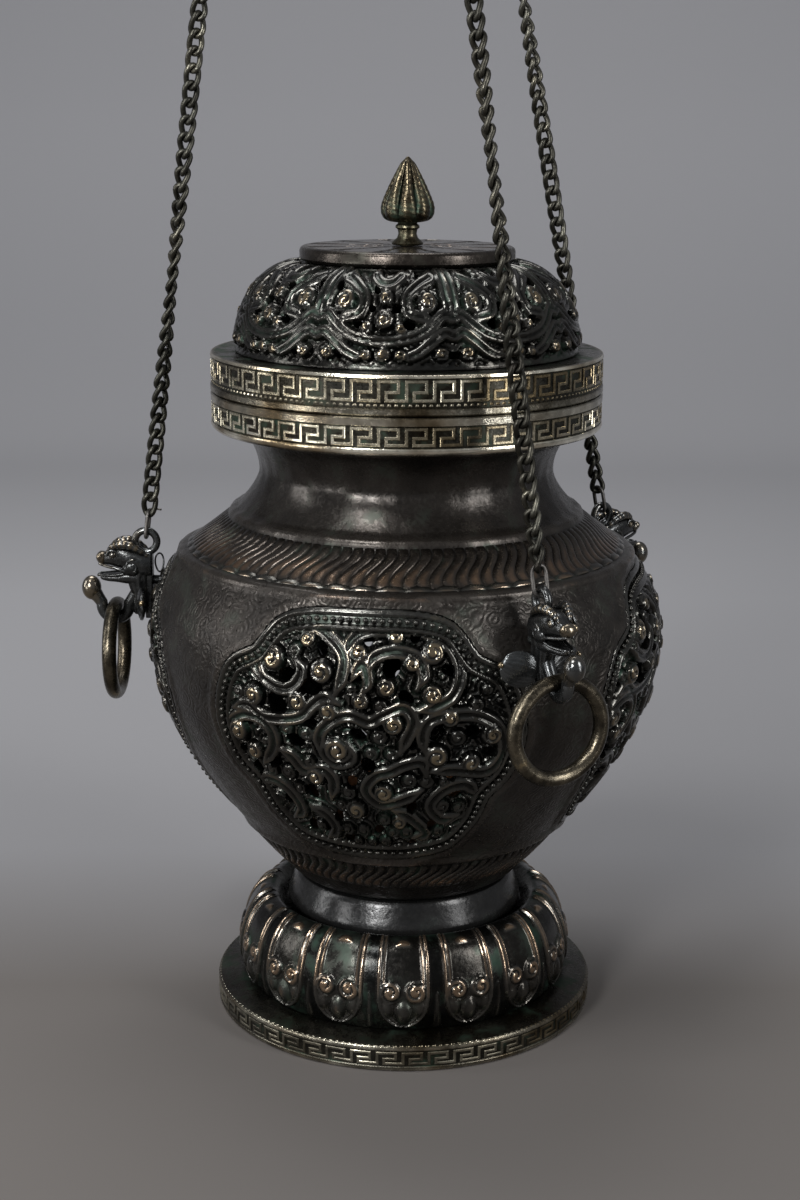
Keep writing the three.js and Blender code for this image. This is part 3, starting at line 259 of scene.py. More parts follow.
def turned(name, profile, around=160, height=None, tone=None, sharp=38):
    """A piece turned round the Z axis from [radius, height] pairs, with a carved height on its first rows."""
    profile = np.asarray(profile, float)
    rows = len(profile)
    poles = profile[0, 0] < 1e-6 and profile[-1, 0] < 1e-6
    turn = np.arange(around) * 2 * math.pi / around
    radius = np.repeat(profile[:, :1], around, axis=1)
    level = np.repeat(profile[:, 1:], around, axis=1)
    if height is not None:
        along = np.gradient(profile, axis=0)
        along /= np.linalg.norm(along, axis=1, keepdims=True) + 1e-9
        carved = len(height)
        radius[:carved] += along[:carved, 1:] * height
        level[:carved] -= along[:carved, :1] * height
    points = np.stack([radius * np.cos(turn), radius * np.sin(turn), level], axis=-1).reshape(-1, 3)
    index = np.arange(rows * around).reshape(rows, around)
    ahead = np.roll(index, -1, axis=1)
    if poles:
        inner = np.arange(1, rows - 2)
    else:
        inner = np.arange(rows)
    after = (inner + 1) % rows
    quads = np.stack([index[inner], ahead[inner], ahead[after], index[after]], axis=-1).reshape(-1, 4)
    tones = np.full((rows, around), 0.5)
    if tone is not None:
        tones[: len(tone)] = tone
    if not poles:
        return build_mesh(name, points, quads, tone=tones, sharp=sharp)
    first = np.stack([np.full(around, index[0, 0]), ahead[1], index[1]], axis=-1)
    last = np.stack([index[-2], ahead[-2], np.full(around, index[-1, 0])], axis=-1)
    used = np.concatenate([[index[0, 0]], index[1:-1].ravel(), [index[-1, 0]]])
    renumbered = np.zeros(rows * around, np.int32)
    renumbered[used] = np.arange(len(used))
    triangles = renumbered[np.vstack([first, last])]
    return build_mesh(name, points[used], renumbered[quads], triangles, tones.ravel()[used], sharp)


def pierced_sheet(name, across, up, place, height, wall, keep=None, wrap=False, tone=None, sharp=38):
    """A sheet over a grid, kept where keep is above zero, with carved height outside and a plain back toned dark as
    painted shade.
    """
    rows, columns = len(up), len(across)
    grid_x, grid_y = np.meshgrid(across, up)
    step = across[1] - across[0]
    if keep is None:
        keep = np.full((rows, columns), 9.0)
    inside = keep > -0.5 * step
    corner = inside
    if wrap:
        corner_right = np.roll(inside, -1, axis=1)
        cells = corner[:-1] & corner[1:] & corner_right[:-1] & corner_right[1:]
    else:
        cells = inside[:-1, :-1] & inside[1:, :-1] & inside[:-1, 1:] & inside[1:, 1:]

    def shifted(mask, down, right):
        """The mask of each cell's neighbour, false beyond the edges."""
        moved = np.roll(mask, (-down, -right), axis=(0, 1))
        if down == 1:
            moved[-1] = False
        if down == -1:
            moved[0] = False
        if not wrap and right == 1:
            moved[:, -1] = False
        if not wrap and right == -1:
            moved[:, 0] = False
        return moved

    for _ in range(3):
        for right in (1, -1):
            pinch = cells & shifted(cells, 1, right) & ~shifted(cells, 0, right) & ~shifted(cells, 1, 0)
            cells = cells | shifted(pinch, -1, 0)
    slope_y, slope_x = np.gradient(keep, up, across)
    steep = slope_x**2 + slope_y**2 + 1e-9
    low_row = np.vstack([cells, np.zeros((1, cells.shape[1]), bool)])
    high_row = np.vstack([np.zeros((1, cells.shape[1]), bool), cells])
    if wrap:
        around = [low_row, np.roll(low_row, 1, axis=1), high_row, np.roll(high_row, 1, axis=1)]
    else:
        edge = np.zeros((rows, 1), bool)
        around = [np.hstack([low_row, edge]), np.hstack([edge, low_row])]
        around += [np.hstack([high_row, edge]), np.hstack([edge, high_row])]
    touched = around[0] | around[1] | around[2] | around[3]
    whole = around[0] & around[1] & around[2] & around[3]
    rim = touched & ~whole & (np.abs(keep) < 2 * step)
    pull = np.where(rim, -keep / steep, 0)
    limit = 0.6 * step
    grid_x = grid_x + np.clip(pull * slope_x, -limit, limit)
    grid_y = grid_y + np.clip(pull * slope_y, -limit, limit)
    outer = place(grid_x, grid_y, height).reshape(-1, 3)
    inner = place(grid_x, grid_y, np.full_like(height, -wall)).reshape(-1, 3)
    index = np.arange(rows * columns).reshape(rows, columns)
    if wrap:
        low_left, low_right = index[:-1], np.roll(index, -1, axis=1)[:-1]
        high_left, high_right = index[1:], np.roll(index, -1, axis=1)[1:]
    else:
        low_left, low_right = index[:-1, :-1], index[:-1, 1:]
        high_left, high_right = index[1:, :-1], index[1:, 1:]
    back = rows * columns
    front_faces = np.stack([low_left, low_right, high_right, high_left], axis=-1)[cells]
    back_faces = front_faces[:, ::-1] + back
    walls = []
    sides = [
        (-1, 0, low_left, low_right),
        (0, 1, low_right, high_right),
        (1, 0, high_right, high_left),
        (0, -1, high_left, low_left),
    ]
    for down, right, start, end in sides:
        open_side = cells & ~shifted(cells, down, right)
        first, second = start[open_side], end[open_side]
        walls.append(np.stack([second, first, first + back, second + back], axis=-1))
    quads = np.vstack([front_faces, back_faces, *walls])
    used = np.unique(quads)
    renumbered = np.zeros(2 * back, np.int32)
    renumbered[used] = np.arange(len(used))
    points = np.vstack([outer, inner])[used]
    # Painted shade: the back faces, inside the bowl and the dome, get a low tone of 0.25 that colours them dark.
    tones = np.concatenate([tone.ravel(), np.full(back, 0.25)])[used]
    return build_mesh(name, points, renumbered[quads], tone=tones, sharp=sharp)


def tube(name, line, radius, sides=12, closed=True, tone=0.5):
    """A round wire along a line of points in millimetres, with rounded ends where it is open."""
    line = np.asarray(line, float)
    count = len(line)
    tones = np.repeat(np.broadcast_to(tone, (count,)), sides)
    if closed:
        along = np.roll(line, -1, axis=0) - np.roll(line, 1, axis=0)
    else:
        along = np.gradient(line, axis=0)
    along /= np.linalg.norm(along, axis=1, keepdims=True)
    radius = np.broadcast_to(radius, (count,)).astype(float)
    side = np.cross(along[0], [0.31, 0.17, 0.93])
    frames = []
    for direction in along:
        side = side - direction * side.dot(direction)
        side /= np.linalg.norm(side)
        frames.append((side, np.cross(direction, side)))
    frames = np.array(frames)
    twist = 0.0
    if closed:
        last = frames[-1, 0] - along[0] * frames[-1, 0].dot(along[0])
        twist = math.atan2(last.dot(frames[0, 1]), last.dot(frames[0, 0]))
    turn = np.arange(sides) * 2 * math.pi / sides
    angle = turn[None, :] - (np.arange(count) / count * twist)[:, None]
    ring = np.cos(angle)[..., None] * frames[:, None, 0] + np.sin(angle)[..., None] * frames[:, None, 1]
    points = line[:, None] + ring * radius[:, None, None]
    index = np.arange(count * sides).reshape(count, sides)
    ahead = np.roll(index, -1, axis=1)
    rows = np.arange(count if closed else count - 1)
    after = (rows + 1) % count
    quads = np.stack([index[rows], ahead[rows], ahead[after], index[after]], axis=-1).reshape(-1, 4)
    points = points.reshape(-1, 3)
    if closed:
        return build_mesh(name, points, quads, tone=tones, sharp=60)
    ends = np.array([line[0] - along[0] * radius[0] * 0.6, line[-1] + along[-1] * radius[-1] * 0.6])
    first = np.stack([np.full(sides, count * sides), ahead[0], index[0]], axis=-1)
    last = np.stack([index[-1], ahead[-1], np.full(sides, count * sides + 1)], axis=-1)
    tones = np.append(tones, tones[[0, -1]])
    return build_mesh(name, np.vstack([points, ends]), quads, np.vstack([first, last]), tones, 60)


def swept(name, centres, across, through, power=2.3, sides=36, flutes=(0, 0), tone=0.5, steps=4):
    """A rounded body through sections, each a centre and two half axes, with flutes (count, depth) along it."""
    sections = smooth_line(np.hstack([centres, across, through]), steps)
    centres, across, through = sections[:, None, :3], sections[:, None, 3:6], sections[:, None, 6:]
    angle = np.arange(sides) * 2 * math.pi / sides
    cosine = (np.sign(np.cos(angle)) * np.abs(np.cos(angle)) ** (2 / power))[None, :, None]
    sine = (np.sign(np.sin(angle)) * np.abs(np.sin(angle)) ** (2 / power))[None, :, None]
    wave = 0.5 - 0.5 * np.cos(flutes[0] * angle)[None, :, None]
    points = centres + (across * cosine + through * sine) * (1 - flutes[1] * wave)
    count = len(sections)
    tones = np.broadcast_to(tone - 2.2 * flutes[1] * wave[..., 0], (count, sides)).ravel()
    index = np.arange(count * sides).reshape(count, sides)
    ahead = np.roll(index, -1, axis=1)
    quads = np.stack([index[:-1], ahead[:-1], ahead[1:], index[1:]], axis=-1).reshape(-1, 4)
    first = np.stack([np.full(sides, count * sides), ahead[0], index[0]], axis=-1)
    last = np.stack([index[-1], ahead[-1], np.full(sides, count * sides + 1)], axis=-1)
    ends = centres[[0, -1], 0]
    tones = np.append(tones, [tone, tone])
    points = np.vstack([points.reshape(-1, 3), ends])
    return build_mesh(name, points, quads, np.vstack([first, last]), tones, 50)


def ball(name, centre, sizes, tone=0.5, sides=20):
    """An ellipsoid with half axes along X, Y and Z."""
    lean = np.linspace(0.08, math.pi - 0.08, 12)
    centres = np.asarray(centre) - np.outer(np.cos(lean), [0, 0, sizes[2]])
    across = np.outer(np.sin(lean), [sizes[0], 0, 0])
    through = np.outer(np.sin(lean), [0, sizes[1], 0])
    return swept(name, centres, across, through, 2, sides, tone=tone, steps=1)


# Carving


def line_distance(across, up, lines, reach):
    """Distance from each point of a grid to the nearest line, looked up only within reach of it."""
    distance = np.full((len(up), len(across)), 99.0)
    for line in lines:
        for start, end in zip(line[:-1], line[1:]):
            low_x, high_x = sorted((start[0], end[0]))
            low_y, high_y = sorted((start[1], end[1]))
            columns = slice(*np.searchsorted(across, (low_x - reach, high_x + reach)))
            rows = slice(*np.searchsorted(up, (low_y - reach, high_y + reach)))
            x, y = np.meshgrid(across[columns], up[rows])
            span = end - start
            length = span.dot(span) + 1e-9
            share = np.clip(((x - start[0]) * span[0] + (y - start[1]) * span[1]) / length, 0, 1)
            gap = np.hypot(x - start[0] - share * span[0], y - start[1] - share * span[1])
            distance[rows, columns] = np.minimum(distance[rows, columns], gap)
    return distance


def loop_depth(x, y, loop):
    """Distance to a closed loop, positive inside it."""
    nearest = np.full(x.shape, 1e9)
    inside = np.zeros(x.shape, bool)
    for (ax, ay), (bx, by) in zip(loop, np.roll(loop, -1, axis=0)):
        span_x, span_y = bx - ax, by - ay
        share = np.clip(((x - ax) * span_x + (y - ay) * span_y) / (span_x**2 + span_y**2 + 1e-12), 0, 1)
        nearest = np.minimum(nearest, (x - ax - share * span_x) ** 2 + (y - ay - share * span_y) ** 2)
        crosses = (ay > y) != (by > y)
        inside ^= crosses & (x < ax + (y - ay) * span_x / (span_y + 1e-12))
    return np.where(inside, 1, -1) * np.sqrt(nearest)


def ridge(distance, width):
    """A rounded ridge by the distance from its middle."""
    return np.clip(1 - (distance / width) ** 2, 0, 1) ** 0.7


def smooth_step(value, low, high):
    """0 below low, 1 above high, smooth between."""
    share = np.clip((value - low) / (high - low), 0, 1)
    return share * share * (3 - 2 * share)


def carve_bosses(x, y, height, tone, bosses, rise, worn):
    """Adds domed bosses with a spiral groove, each (x, y, radius, turns), worn to a tone at their tops."""
    for centre_x, centre_y, radius, turns in bosses:
        gap = np.hypot(x - centre_x, y - centre_y)
        near = gap < radius
        share = gap[near] / radius
        angle = np.arctan2(y[near] - centre_y, x[near] - centre_x)
        wave = np.cos(2 * math.pi * abs(turns) * share - math.copysign(1, turns) * angle)
        groove = np.clip(-wave, 0, 1) ** 1.5 * (share > 0.16)
        dome = rise * np.sqrt(1 - share**3 * 0.98)
        lifted = dome - 0.6 * groove * (1 - 0.3 * share)
        better = lifted > height[near]
        height[near] = np.where(better, lifted, height[near])
        shade = worn * (1 - 0.5 * groove - 0.45 * share**2)
        tone[near] = np.where(better, shade, tone[near])


def filler_curls(x_range, y_range, pitch, radius, taken, seed):
    """Small curls on a loose grid wherever nothing else stands; taken says how near the nearest thing is."""
    random = np.random.default_rng(seed)
    curls = []
    for row, y in enumerate(np.arange(*y_range, pitch * 0.86)):
        for x in np.arange(*x_range, pitch) + (row % 2) * pitch / 2:
            px, py = x + random.uniform(-0.4, 0.4), y + random.uniform(-0.4, 0.4)
            room = taken(px, py)
            if room > radius * 0.55:
                size = min(radius, room * 1.25)
                curls.append((px, py, size, random.choice((-1, 1)) * 1.35))
    return curls


# Geometry nodes


def node_tree(name, sockets):
    """A geometry node tree with named inputs; returns it with its input and output nodes."""
    tree = bpy.data.node_groups.new(name, "GeometryNodeTree")
    tree.interface.new_socket("Geometry", in_out="INPUT", socket_type="NodeSocketGeometry")
    for label, kind in sockets.items():
        tree.interface.new_socket(label, in_out="INPUT", socket_type=kind)
    tree.interface.new_socket("Geometry", in_out="OUTPUT", socket_type="NodeSocketGeometry")
    return tree, tree.nodes.new("NodeGroupInput"), tree.nodes.new("NodeGroupOutput")


def finish_tree(tree, given, result, geometry):
    """Ends a tree in Realize Instances and Set Material."""
    real = tree.nodes.new("GeometryNodeRealizeInstances")
    paint = tree.nodes.new("GeometryNodeSetMaterial")
    tree.links.new(geometry, real.inputs["Geometry"])
    tree.links.new(real.outputs["Geometry"], paint.inputs["Geometry"])
    tree.links.new(given.outputs["Material"], paint.inputs["Material"])
    tree.links.new(paint.outputs["Geometry"], result.inputs["Geometry"])


def ring_tree():
    """Copies of a piece round the Z axis."""
    sockets = {"Copies": "NodeSocketInt", "Material": "NodeSocketMaterial"}
    tree, given, result = node_tree("Ring of copies", sockets)
    points = tree.nodes.new("GeometryNodePoints")
    copies = tree.nodes.new("GeometryNodeInstanceOnPoints")
    index = tree.nodes.new("GeometryNodeInputIndex")
    step = tree.nodes.new("ShaderNodeMath")
    step.operation = "DIVIDE"
    step.inputs[0].default_value = 2 * math.pi
    angle = tree.nodes.new("ShaderNodeMath")
    angle.operation = "MULTIPLY"
    turn = tree.nodes.new("ShaderNodeCombineXYZ")
    link = tree.links.new
    link(given.outputs["Copies"], points.inputs["Count"])
    link(given.outputs["Copies"], step.inputs[1])
    link(index.outputs[0], angle.inputs[0])
    link(step.outputs[0], angle.inputs[1])
    link(angle.outputs[0], turn.inputs["Z"])
    link(points.outputs[0], copies.inputs["Points"])
    link(given.outputs["Geometry"], copies.inputs["Instance"])
    link(turn.outputs[0], copies.inputs["Rotation"])
    finish_tree(tree, given, result, copies.outputs["Instances"])
    return tree


def bead_tree():
    """Beads at an even pitch along the edges of a mesh."""
    sockets = {"Pitch": "NodeSocketFloat", "Radius": "NodeSocketFloat", "Material": "NodeSocketMaterial"}
    tree, given, result = node_tree("Row of beads", sockets)
    curve = tree.nodes.new("GeometryNodeMeshToCurve")
    even = tree.nodes.new("GeometryNodeResampleCurve")
    even.mode = "LENGTH"
    bead = tree.nodes.new("GeometryNodeMeshIcoSphere")
    bead.inputs["Subdivisions"].default_value = 2
    soft = tree.nodes.new("GeometryNodeSetShadeSmooth")
    copies = tree.nodes.new("GeometryNodeInstanceOnPoints")
    link = tree.links.new
    link(given.outputs["Geometry"], curve.inputs["Mesh"])
    link(curve.outputs["Curve"], even.inputs["Curve"])
    link(given.outputs["Pitch"], even.inputs["Length"])
    link(even.outputs["Curve"], copies.inputs["Points"])
    link(given.outputs["Radius"], bead.inputs["Radius"])
    link(bead.outputs["Mesh"], soft.inputs["Geometry"])
    link(soft.outputs["Geometry"], copies.inputs["Instance"])
    finish_tree(tree, given, result, copies.outputs["Instances"])
    return tree


def run_tree():
    """Copies of a link up the Z axis, each turned a little more than the last."""
    sockets = {
        "Copies": "NodeSocketInt",
        "Pitch": "NodeSocketFloat",
        "Twist": "NodeSocketFloat",
        "Material": "NodeSocketMaterial",
    }
    tree, given, result = node_tree("Run of links", sockets)
    step = tree.nodes.new("ShaderNodeCombineXYZ")
    line = tree.nodes.new("GeometryNodeMeshLine")
    index = tree.nodes.new("GeometryNodeInputIndex")
    angle = tree.nodes.new("ShaderNodeMath")
    angle.operation = "MULTIPLY"
    turn = tree.nodes.new("ShaderNodeCombineXYZ")
    copies = tree.nodes.new("GeometryNodeInstanceOnPoints")
    link = tree.links.new
    link(given.outputs["Pitch"], step.inputs["Z"])
    link(given.outputs["Copies"], line.inputs["Count"])
    link(step.outputs[0], line.inputs["Offset"])
    link(index.outputs[0], angle.inputs[0])
    link(given.outputs["Twist"], angle.inputs[1])
    link(angle.outputs[0], turn.inputs["Z"])
    link(line.outputs[0], copies.inputs["Points"])
    link(given.outputs["Geometry"], copies.inputs["Instance"])
    link(turn.outputs[0], copies.inputs["Rotation"])
    finish_tree(tree, given, result, copies.outputs["Instances"])
    return tree


def grow(piece, tree, **values):
    """Replaces a piece's mesh by what a node tree makes of it."""
    modifier = piece.modifiers.new(tree.name, "NODES")
    modifier.node_group = tree
    for item in tree.interface.items_tree:
        if item.in_out == "INPUT" and item.name in values:
            modifier[item.identifier] = values[item.name]
    seen = bpy.context.evaluated_depsgraph_get()
    made = bpy.data.meshes.new_from_object(piece.evaluated_get(seen))
    made.name = piece.name
    piece.modifiers.remove(modifier)
    piece.data = made
    return piece


# Finishes


def shader_node(tree, kind, inputs=None, **settings):
    """Adds a node, sets it, and fills its inputs with values or links."""
    made = tree.nodes.new(kind)
    for key, value in settings.items():
        setattr(made, key, value)
    for key, value in (inputs or {}).items():
        if isinstance(value, bpy.types.NodeSocket):
            tree.links.new(value, made.inputs[key])
        else:
            made.inputs[key].default_value = value
    return made


def ramp(tree, factor, stops):
    """A colour ramp with stops of (position, colour)."""
    made = tree.nodes.new("ShaderNodeValToRGB")
    tree.links.new(factor, made.inputs["Fac"])
    elements = made.color_ramp.elements
    while len(elements) < len(stops):
        elements.new(0.5)
    for element, (position, colour) in zip(elements, stops):
        element.position = position
        element.color = (*colour[:3], 1)
    return made.outputs["Color"]


def mixed(tree, factor, first, second, mode="MIX"):
    """Two colours mixed by a factor."""
    made = tree.nodes.new("ShaderNodeMix")
    made.data_type = "RGBA"
    made.blend_type = mode
    for socket, value in ((made.inputs["Factor"], factor), (made.inputs[6], first), (made.inputs[7], second)):
        if isinstance(value, bpy.types.NodeSocket):
            tree.links.new(value, socket)
        else:
            socket.default_value = value if isinstance(value, float) else (*value[:3], 1)
    return made.outputs[2]


def span(tree, value, low, high, to_low, to_high):
    """A value carried from one range to another, clamped."""
    made = shader_node(tree, "ShaderNodeMapRange", {
        "Value": value, "From Min": low, "From Max": high, "To Min": to_low, "To Max": to_high})
    return made.outputs["Result"]


def engraving(tree, place, rise, mottle, under):
    """A bump of faint engraved curls on the belly, rings about scattered centres."""
    pushed = shader_node(tree, "ShaderNodeVectorMath", {0: mottle, 1: (0.006, 0.006, 0.006)}, operation="MULTIPLY")
    swayed = shader_node(tree, "ShaderNodeVectorMath", {0: place, 1: pushed.outputs[0]}, operation="ADD")
    cells = shader_node(tree, "ShaderNodeTexVoronoi", {"Vector": swayed.outputs[0], "Scale": 210.0})
    turns = shader_node(tree, "ShaderNodeMath", {0: cells.outputs["Distance"], 1: 24.0}, operation="MULTIPLY")
    rings = shader_node(tree, "ShaderNodeMath", {0: turns.outputs[0]}, operation="SINE")
    belly = span(tree, rise, 0.144, 0.1455, 1.0, 0.0)
    marks = shader_node(tree, "ShaderNodeMath", {0: rings.outputs[0], 1: belly}, operation="MULTIPLY")
    return shader_node(tree, "ShaderNodeBump", {
        "Height": marks.outputs[0], "Strength": 0.18, "Distance": 0.0003, "Normal": under.outputs["Normal"]})


def metal_finish(name, ground, crest, hollow, bloom, bloom_share=0.3, rough=(0.22, 0.44), metallic=0.75,
                 plain=None, dapple=90, engraved=False, stain=((0.62, 0.55, 0.5), 0.5)):
    """A patinated metal: tone colours and polishes it, noise mottles it, and verdigris lies in its hollows."""
    material = bpy.data.materials.new(name)
    material.use_nodes = True
    tree = material.node_tree
    tree.nodes.clear()
    place = shader_node(tree, "ShaderNodeTexCoord").outputs["Object"]
    mottle = shader_node(tree, "ShaderNodeTexNoise", {
        "Vector": place, "Scale": dapple, "Detail": 6.0, "Roughness": 0.62}).outputs["Fac"]
    fine = shader_node(tree, "ShaderNodeTexNoise", {
        "Vector": place, "Scale": dapple * 9, "Detail": 4.0, "Roughness": 0.6}).outputs["Fac"]
    broad = shader_node(tree, "ShaderNodeTexNoise", {
        "Vector": place, "Scale": dapple * 0.3, "Detail": 3.0}).outputs["Fac"]
    if plain is None:
        height = shader_node(tree, "ShaderNodeAttribute", attribute_name="tone").outputs["Fac"]
    else:
        height = shader_node(tree, "ShaderNodeMath", {0: mottle, 1: plain - 0.5}, operation="ADD").outputs[0]
    sway = span(tree, mottle, 0.3, 0.7, -0.14, 0.14)
    level = shader_node(tree, "ShaderNodeMath", {0: height, 1: sway}, operation="ADD").outputs[0]
    deep = [channel * 0.45 for channel in ground]
    colour = ramp(tree, level, [
        (0.0, hollow), (0.3, deep), (0.5, ground), (0.66, [channel * 1.5 for channel in ground]), (0.95, crest)])
    stained = span(tree, broad, 0.4, 0.62, 0.0, stain[1])
    colour = mixed(tree, stained, colour, stain[0], "MULTIPLY")
    hidden = span(tree, height, 0.12, 0.62, 1.0, 0.0)
    patches = span(tree, mottle, 0.66 - bloom_share * 0.4, 0.8 - bloom_share * 0.4, 0.0, 0.85)
    green = shader_node(tree, "ShaderNodeMath", {0: hidden, 1: patches}, operation="MULTIPLY").outputs[0]
    colour = mixed(tree, green, colour, bloom)
    matt = span(tree, fine, 0.3, 0.7, rough[0], rough[1])
    worn = span(tree, height, 0.5, 0.85, 1.0, 0.6)
    matt = shader_node(tree, "ShaderNodeMath", {0: matt, 1: worn}, operation="MULTIPLY").outputs[0]
    matt = mixed(tree, green, matt, [0.7, 0.7, 0.7])
    bump = shader_node(tree, "ShaderNodeBump", {
        "Height": fine, "Strength": 0.25, "Distance": 0.00025})
    dents = shader_node(tree, "ShaderNodeBump", {
        "Height": mottle, "Strength": 0.3, "Distance": 0.0006,
        "Normal": bump.outputs["Normal"]})
    if engraved:
        rise = shader_node(tree, "ShaderNodeSeparateXYZ", {"Vector": place}).outputs["Z"]
        dents = engraving(tree, place, rise, mottle, dents)
        gloss = span(tree, rise, 0.156, 0.16, 1.0, 0.78)
        matt = mixed(tree, gloss, [0.0, 0.0, 0.0], matt)
    body = shader_node(tree, "ShaderNodeBsdfPrincipled", {
        "Base Color": colour, "Roughness": matt, "Metallic": metallic,
        "Normal": dents.outputs["Normal"]})
    shader_node(tree, "ShaderNodeOutputMaterial", {"Surface": body.outputs["BSDF"]})
    return material


FINISHES = {}


def make_finishes(colours):
    """The metals of the burner, by name."""
    bronze, brass, copper = colours.bronze, colours.brass, colours.copper
    hollow, green = colours.hollow, colours.verdigris
    FINISHES["bronze"] = metal_finish("Dark bronze", bronze, copper, hollow, green, engraved=True)
    FINISHES["glossy"] = metal_finish(
        "Glossy dark bronze", [0.024, 0.024, 0.024], copper, hollow, green, 0.2, (0.14, 0.3), 0.7)
    FINISHES["pierced"] = metal_finish(
        "Pierced bronze", [0.052, 0.051, 0.047], [0.27, 0.22, 0.145], hollow, green, 0.45, (0.1, 0.3), 0.94)
    FINISHES["petals"] = metal_finish(
        "Coppery bronze", [0.055, 0.053, 0.048], [0.3, 0.22, 0.15], hollow, green, 0.4, (0.13, 0.3), 0.92)
    FINISHES["flutes"] = metal_finish(
        "Fluted bronze", [0.042, 0.036, 0.031], [0.26, 0.17, 0.11], hollow, green, 0.3, (0.16, 0.36), 0.88)
    FINISHES["band"] = metal_finish(
        "Band bronze", [0.13, 0.122, 0.098], [0.86, 0.82, 0.7], hollow, green, 0.4, (0.18, 0.42), 0.95, dapple=130,
        stain=((0.36, 0.29, 0.21), 1.0))
    FINISHES["line"] = metal_finish(
        "Worn fret lines", [0.46, 0.43, 0.34], [0.92, 0.88, 0.77], bronze, green, 0.25, (0.17, 0.38), 0.95, plain=0.55,
        stain=((0.36, 0.3, 0.22), 1.0))
    FINISHES["dull_line"] = metal_finish(
        "Dull fret lines", [0.2, 0.185, 0.145], [0.62, 0.57, 0.46], bronze, green, 0.4, (0.25, 0.45), 0.95, plain=0.5,
        stain=((0.36, 0.3, 0.22), 1.0))
    FINISHES["bead"] = metal_finish(
        "Border beads", [0.045, 0.044, 0.04], [0.2, 0.17, 0.12], hollow, green, 0.2, (0.18, 0.38), 0.9, plain=0.5)
    FINISHES["gold"] = metal_finish(
        "Golden bronze", [0.1, 0.083, 0.053], [0.56, 0.46, 0.29], hollow, green, 0.5, (0.12, 0.32), 0.92, dapple=160)
    FINISHES["plain"] = metal_finish("Plain bronze", bronze, copper, hollow, green, 0.2, (0.2, 0.42), plain=0.5)
    FINISHES["ring"] = metal_finish(
        "Ring brass", [0.085, 0.073, 0.053], brass, bronze, green, 0.3, (0.2, 0.4), 0.95, plain=0.48, dapple=150)
    FINISHES["beast"] = metal_finish(
        "Beast bronze", [0.062, 0.065, 0.066], [0.24, 0.19, 0.12], hollow, green, 0.15, (0.16, 0.34), 0.92, dapple=120)
    FINISHES["chain"] = metal_finish(
        "Chain brass", [0.05, 0.049, 0.041], [0.22, 0.21, 0.165], bronze, green, 0.2, (0.3, 0.5), 0.9, plain=0.5)
    FINISHES["iron"] = metal_finish(
        "Iron", [0.12, 0.115, 0.11], [0.3, 0.29, 0.28], bronze, [0.12, 0.06, 0.03], 0.4, (0.35, 0.6), 0.9,
        plain=0.5)
    FINISHES["pan"] = metal_finish(
        "Pan copper", [0.3, 0.15, 0.08], [0.5, 0.3, 0.18], bronze, green, 0.3, (0.3, 0.5), 0.95, plain=0.5)


def dress(piece, finish, body, slot, *replaced):
    """Gives a piece its finish, its body and the nodes that it stands for; its slot is not used."""
    piece.data.materials.clear()
    piece.data.materials.append(FINISHES[finish])
    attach(piece, body)
    if replaced:
        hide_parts(*replaced)


def paint_node(name, finish):
    """Gives a node of the frame, which keeps its shape, a finish."""
    node = frame["nodes"][name]
    if not node.material_slots:
        node.data.materials.append(None)
    for slot in node.material_slots:
        slot.material = FINISHES[finish]


def ring_slab(keys, base_radius, low, high, line, rise):
    """One key of a fret as a raised line on a cylinder, about azimuth zero."""
    pitch = 2 * math.pi * base_radius / keys
    path = np.array([(-0.35, 0), (0, 0), (0, 1), (0.71, 1), (0.71, 0.44), (0.27, 0.44), (0.27, 0), (0.65, 0)])
    path = path * (pitch, high - low)
    along = np.diff(path, axis=0)
    along /= np.linalg.norm(along, axis=1, keepdims=True)
    side = np.stack([-along[:, 1], along[:, 0]], axis=1)
    offset = np.vstack([side[:1], side[:-1] + side[1:], side[-1:]])
    rows = []
    for width, out in ((line / 2, -0.2), (line / 2, rise * 0.55), (line * 0.28, rise)):
        rows.append((path + offset * width, out))
    for width, out in ((line * 0.28, rise), (line / 2, rise * 0.55), (line / 2, -0.2)):
        rows.append((path - offset * width, out))
    points = []
    for flat, out in rows:
        turn = flat[:, 0] / base_radius
        radius = base_radius + out
        points.append(np.stack([radius * np.cos(turn), radius * np.sin(turn), low + flat[:, 1]], axis=-1))
    points = np.stack(points)
    count = len(path)
    index = np.arange(6 * count).reshape(6, count)
    quads = np.stack([index[:-1, :-1], index[:-1, 1:], index[1:, 1:], index[1:, :-1]], axis=-1).reshape(-1, 4)
    return points.reshape(-1, 3), quads[:, ::-1]


def fret(name, radius, low, high, keys, finish, body, slot):
    """A key fret round a band."""
    points, quads = ring_slab(keys, radius, low, high, 0.9, 0.42)
    piece = build_mesh(name, points, quads, sharp=30)
    grow(piece, ring_tree(), Copies=keys, Material=FINISHES[finish])
    dress(piece, finish, body, slot)
    return piece


def rows_of(*tones):
    """Tones for the rows of a turned piece."""
    return np.array(tones, float)[:, None]


